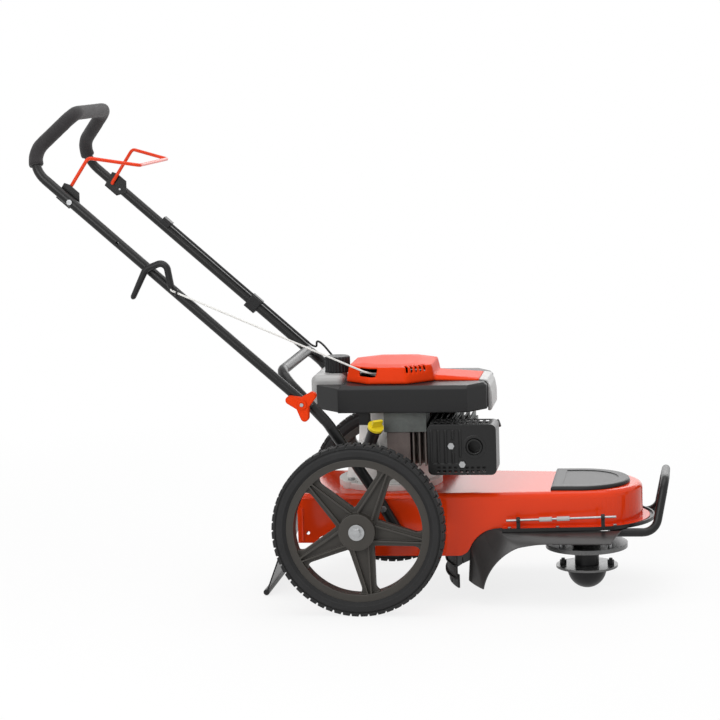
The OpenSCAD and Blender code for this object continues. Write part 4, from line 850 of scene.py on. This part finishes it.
def seen_directly(tree):
    """1 for camera, glossy and transmitted rays, otherwise 0."""
    path = tree.nodes.new("ShaderNodeLightPath")
    total = path.outputs["Is Camera Ray"]
    for name in ("Is Glossy Ray", "Is Transmission Ray"):
        total = combined(tree, "MAXIMUM", total, path.outputs[name])
    return total


floor_corners = [
    (x * FLOOR_HALF, y * FLOOR_HALF, 0) for x, y in ((-1, -1), (1, -1), (1, 1), (-1, 1))]
floor = add_piece("floor", floor_corners, [(0, 1, 2, 3)])
floor_finish = bpy.data.materials.new("floor_white")
floor_finish.use_nodes = True
tree = floor_finish.node_tree
tree.nodes.clear()
output = tree.nodes.new("ShaderNodeOutputMaterial")
paper = tree.nodes.new("ShaderNodeBsdfDiffuse")
paper.inputs["Color"].default_value = PAPER_WHITE
own_light = tree.nodes.new("ShaderNodeEmission")
spread = tree.nodes.new("ShaderNodeVectorMath")
spread.operation = "LENGTH"
tree.links.new(tree.nodes.new("ShaderNodeTexCoord").outputs["Object"], spread.inputs[0])
fade = ranged(tree, spread.outputs["Value"], *OWN_LIGHT, *FADE)
both_lights = tree.nodes.new("ShaderNodeMixShader")
tree.links.new(combined(tree, "MULTIPLY", fade, seen_directly(tree)), both_lights.inputs[0])
tree.links.new(paper.outputs[0], both_lights.inputs[1])
tree.links.new(own_light.outputs[0], both_lights.inputs[2])
tree.links.new(both_lights.outputs[0], output.inputs["Surface"])
floor.data.materials.append(floor_finish)
print("floor:", 2 * FLOOR_HALF, "m across")

# %% World
WORLD_LIGHT = (0.5, 1.0)
world = bpy.data.worlds.new("studio")
bpy.context.scene.world = world
world.use_nodes = True
tree = world.node_tree
background = tree.nodes["Background"]
background.inputs["Color"].default_value = (1, 1, 1, 1)
strength = ranged(tree, seen_directly(tree), *WORLD_LIGHT, start=0, end=1)
tree.links.new(strength, background.inputs["Strength"])
print("world light:", WORLD_LIGHT)

# %% [markdown]
# ### Lamps
# One broad lamp overhead gives the tops their shine, one beside the camera fills the near
# side, and a weaker one from behind draws the outline of the tubes. A wide low lamp far behind
# is there only to shine in the deck's flat top at a grazing angle, so the camera doesn't see it.

# %% Lamps
MIDDLE, DECK_TOP = (0, 0, 0.5), (0.1, 0, 0.35)


def add_lamp(name, place, target, size, watts):
    data = bpy.data.lights.new(name, "AREA")
    data.shape = "RECTANGLE"
    data.size, data.size_y = size
    data.energy = watts
    lamp = bpy.data.objects.new(name, data)
    lamp.location = place
    lamp.rotation_euler = (Vector(target) - Vector(place)).to_track_quat("-Z", "Y").to_euler()
    bpy.context.scene.collection.objects.link(lamp)
    return lamp


add_lamp("overhead", (0.2, -0.3, 3.2), MIDDLE, (3.2, 2.4), 46)
add_lamp("near_side", (-1.2, -3.6, 1.9), MIDDLE, (2.4, 1.8), 56)
add_lamp("far_side", (0.8, 3.4, 2.2), MIDDLE, (2.4, 1.6), 26)
low_back = add_lamp("low_back", (0.2, 4.4, 1.0), DECK_TOP, (5.0, 1.5), 16)
low_back.visible_camera = False
bpy.context.scene.view_settings.view_transform = "Standard"
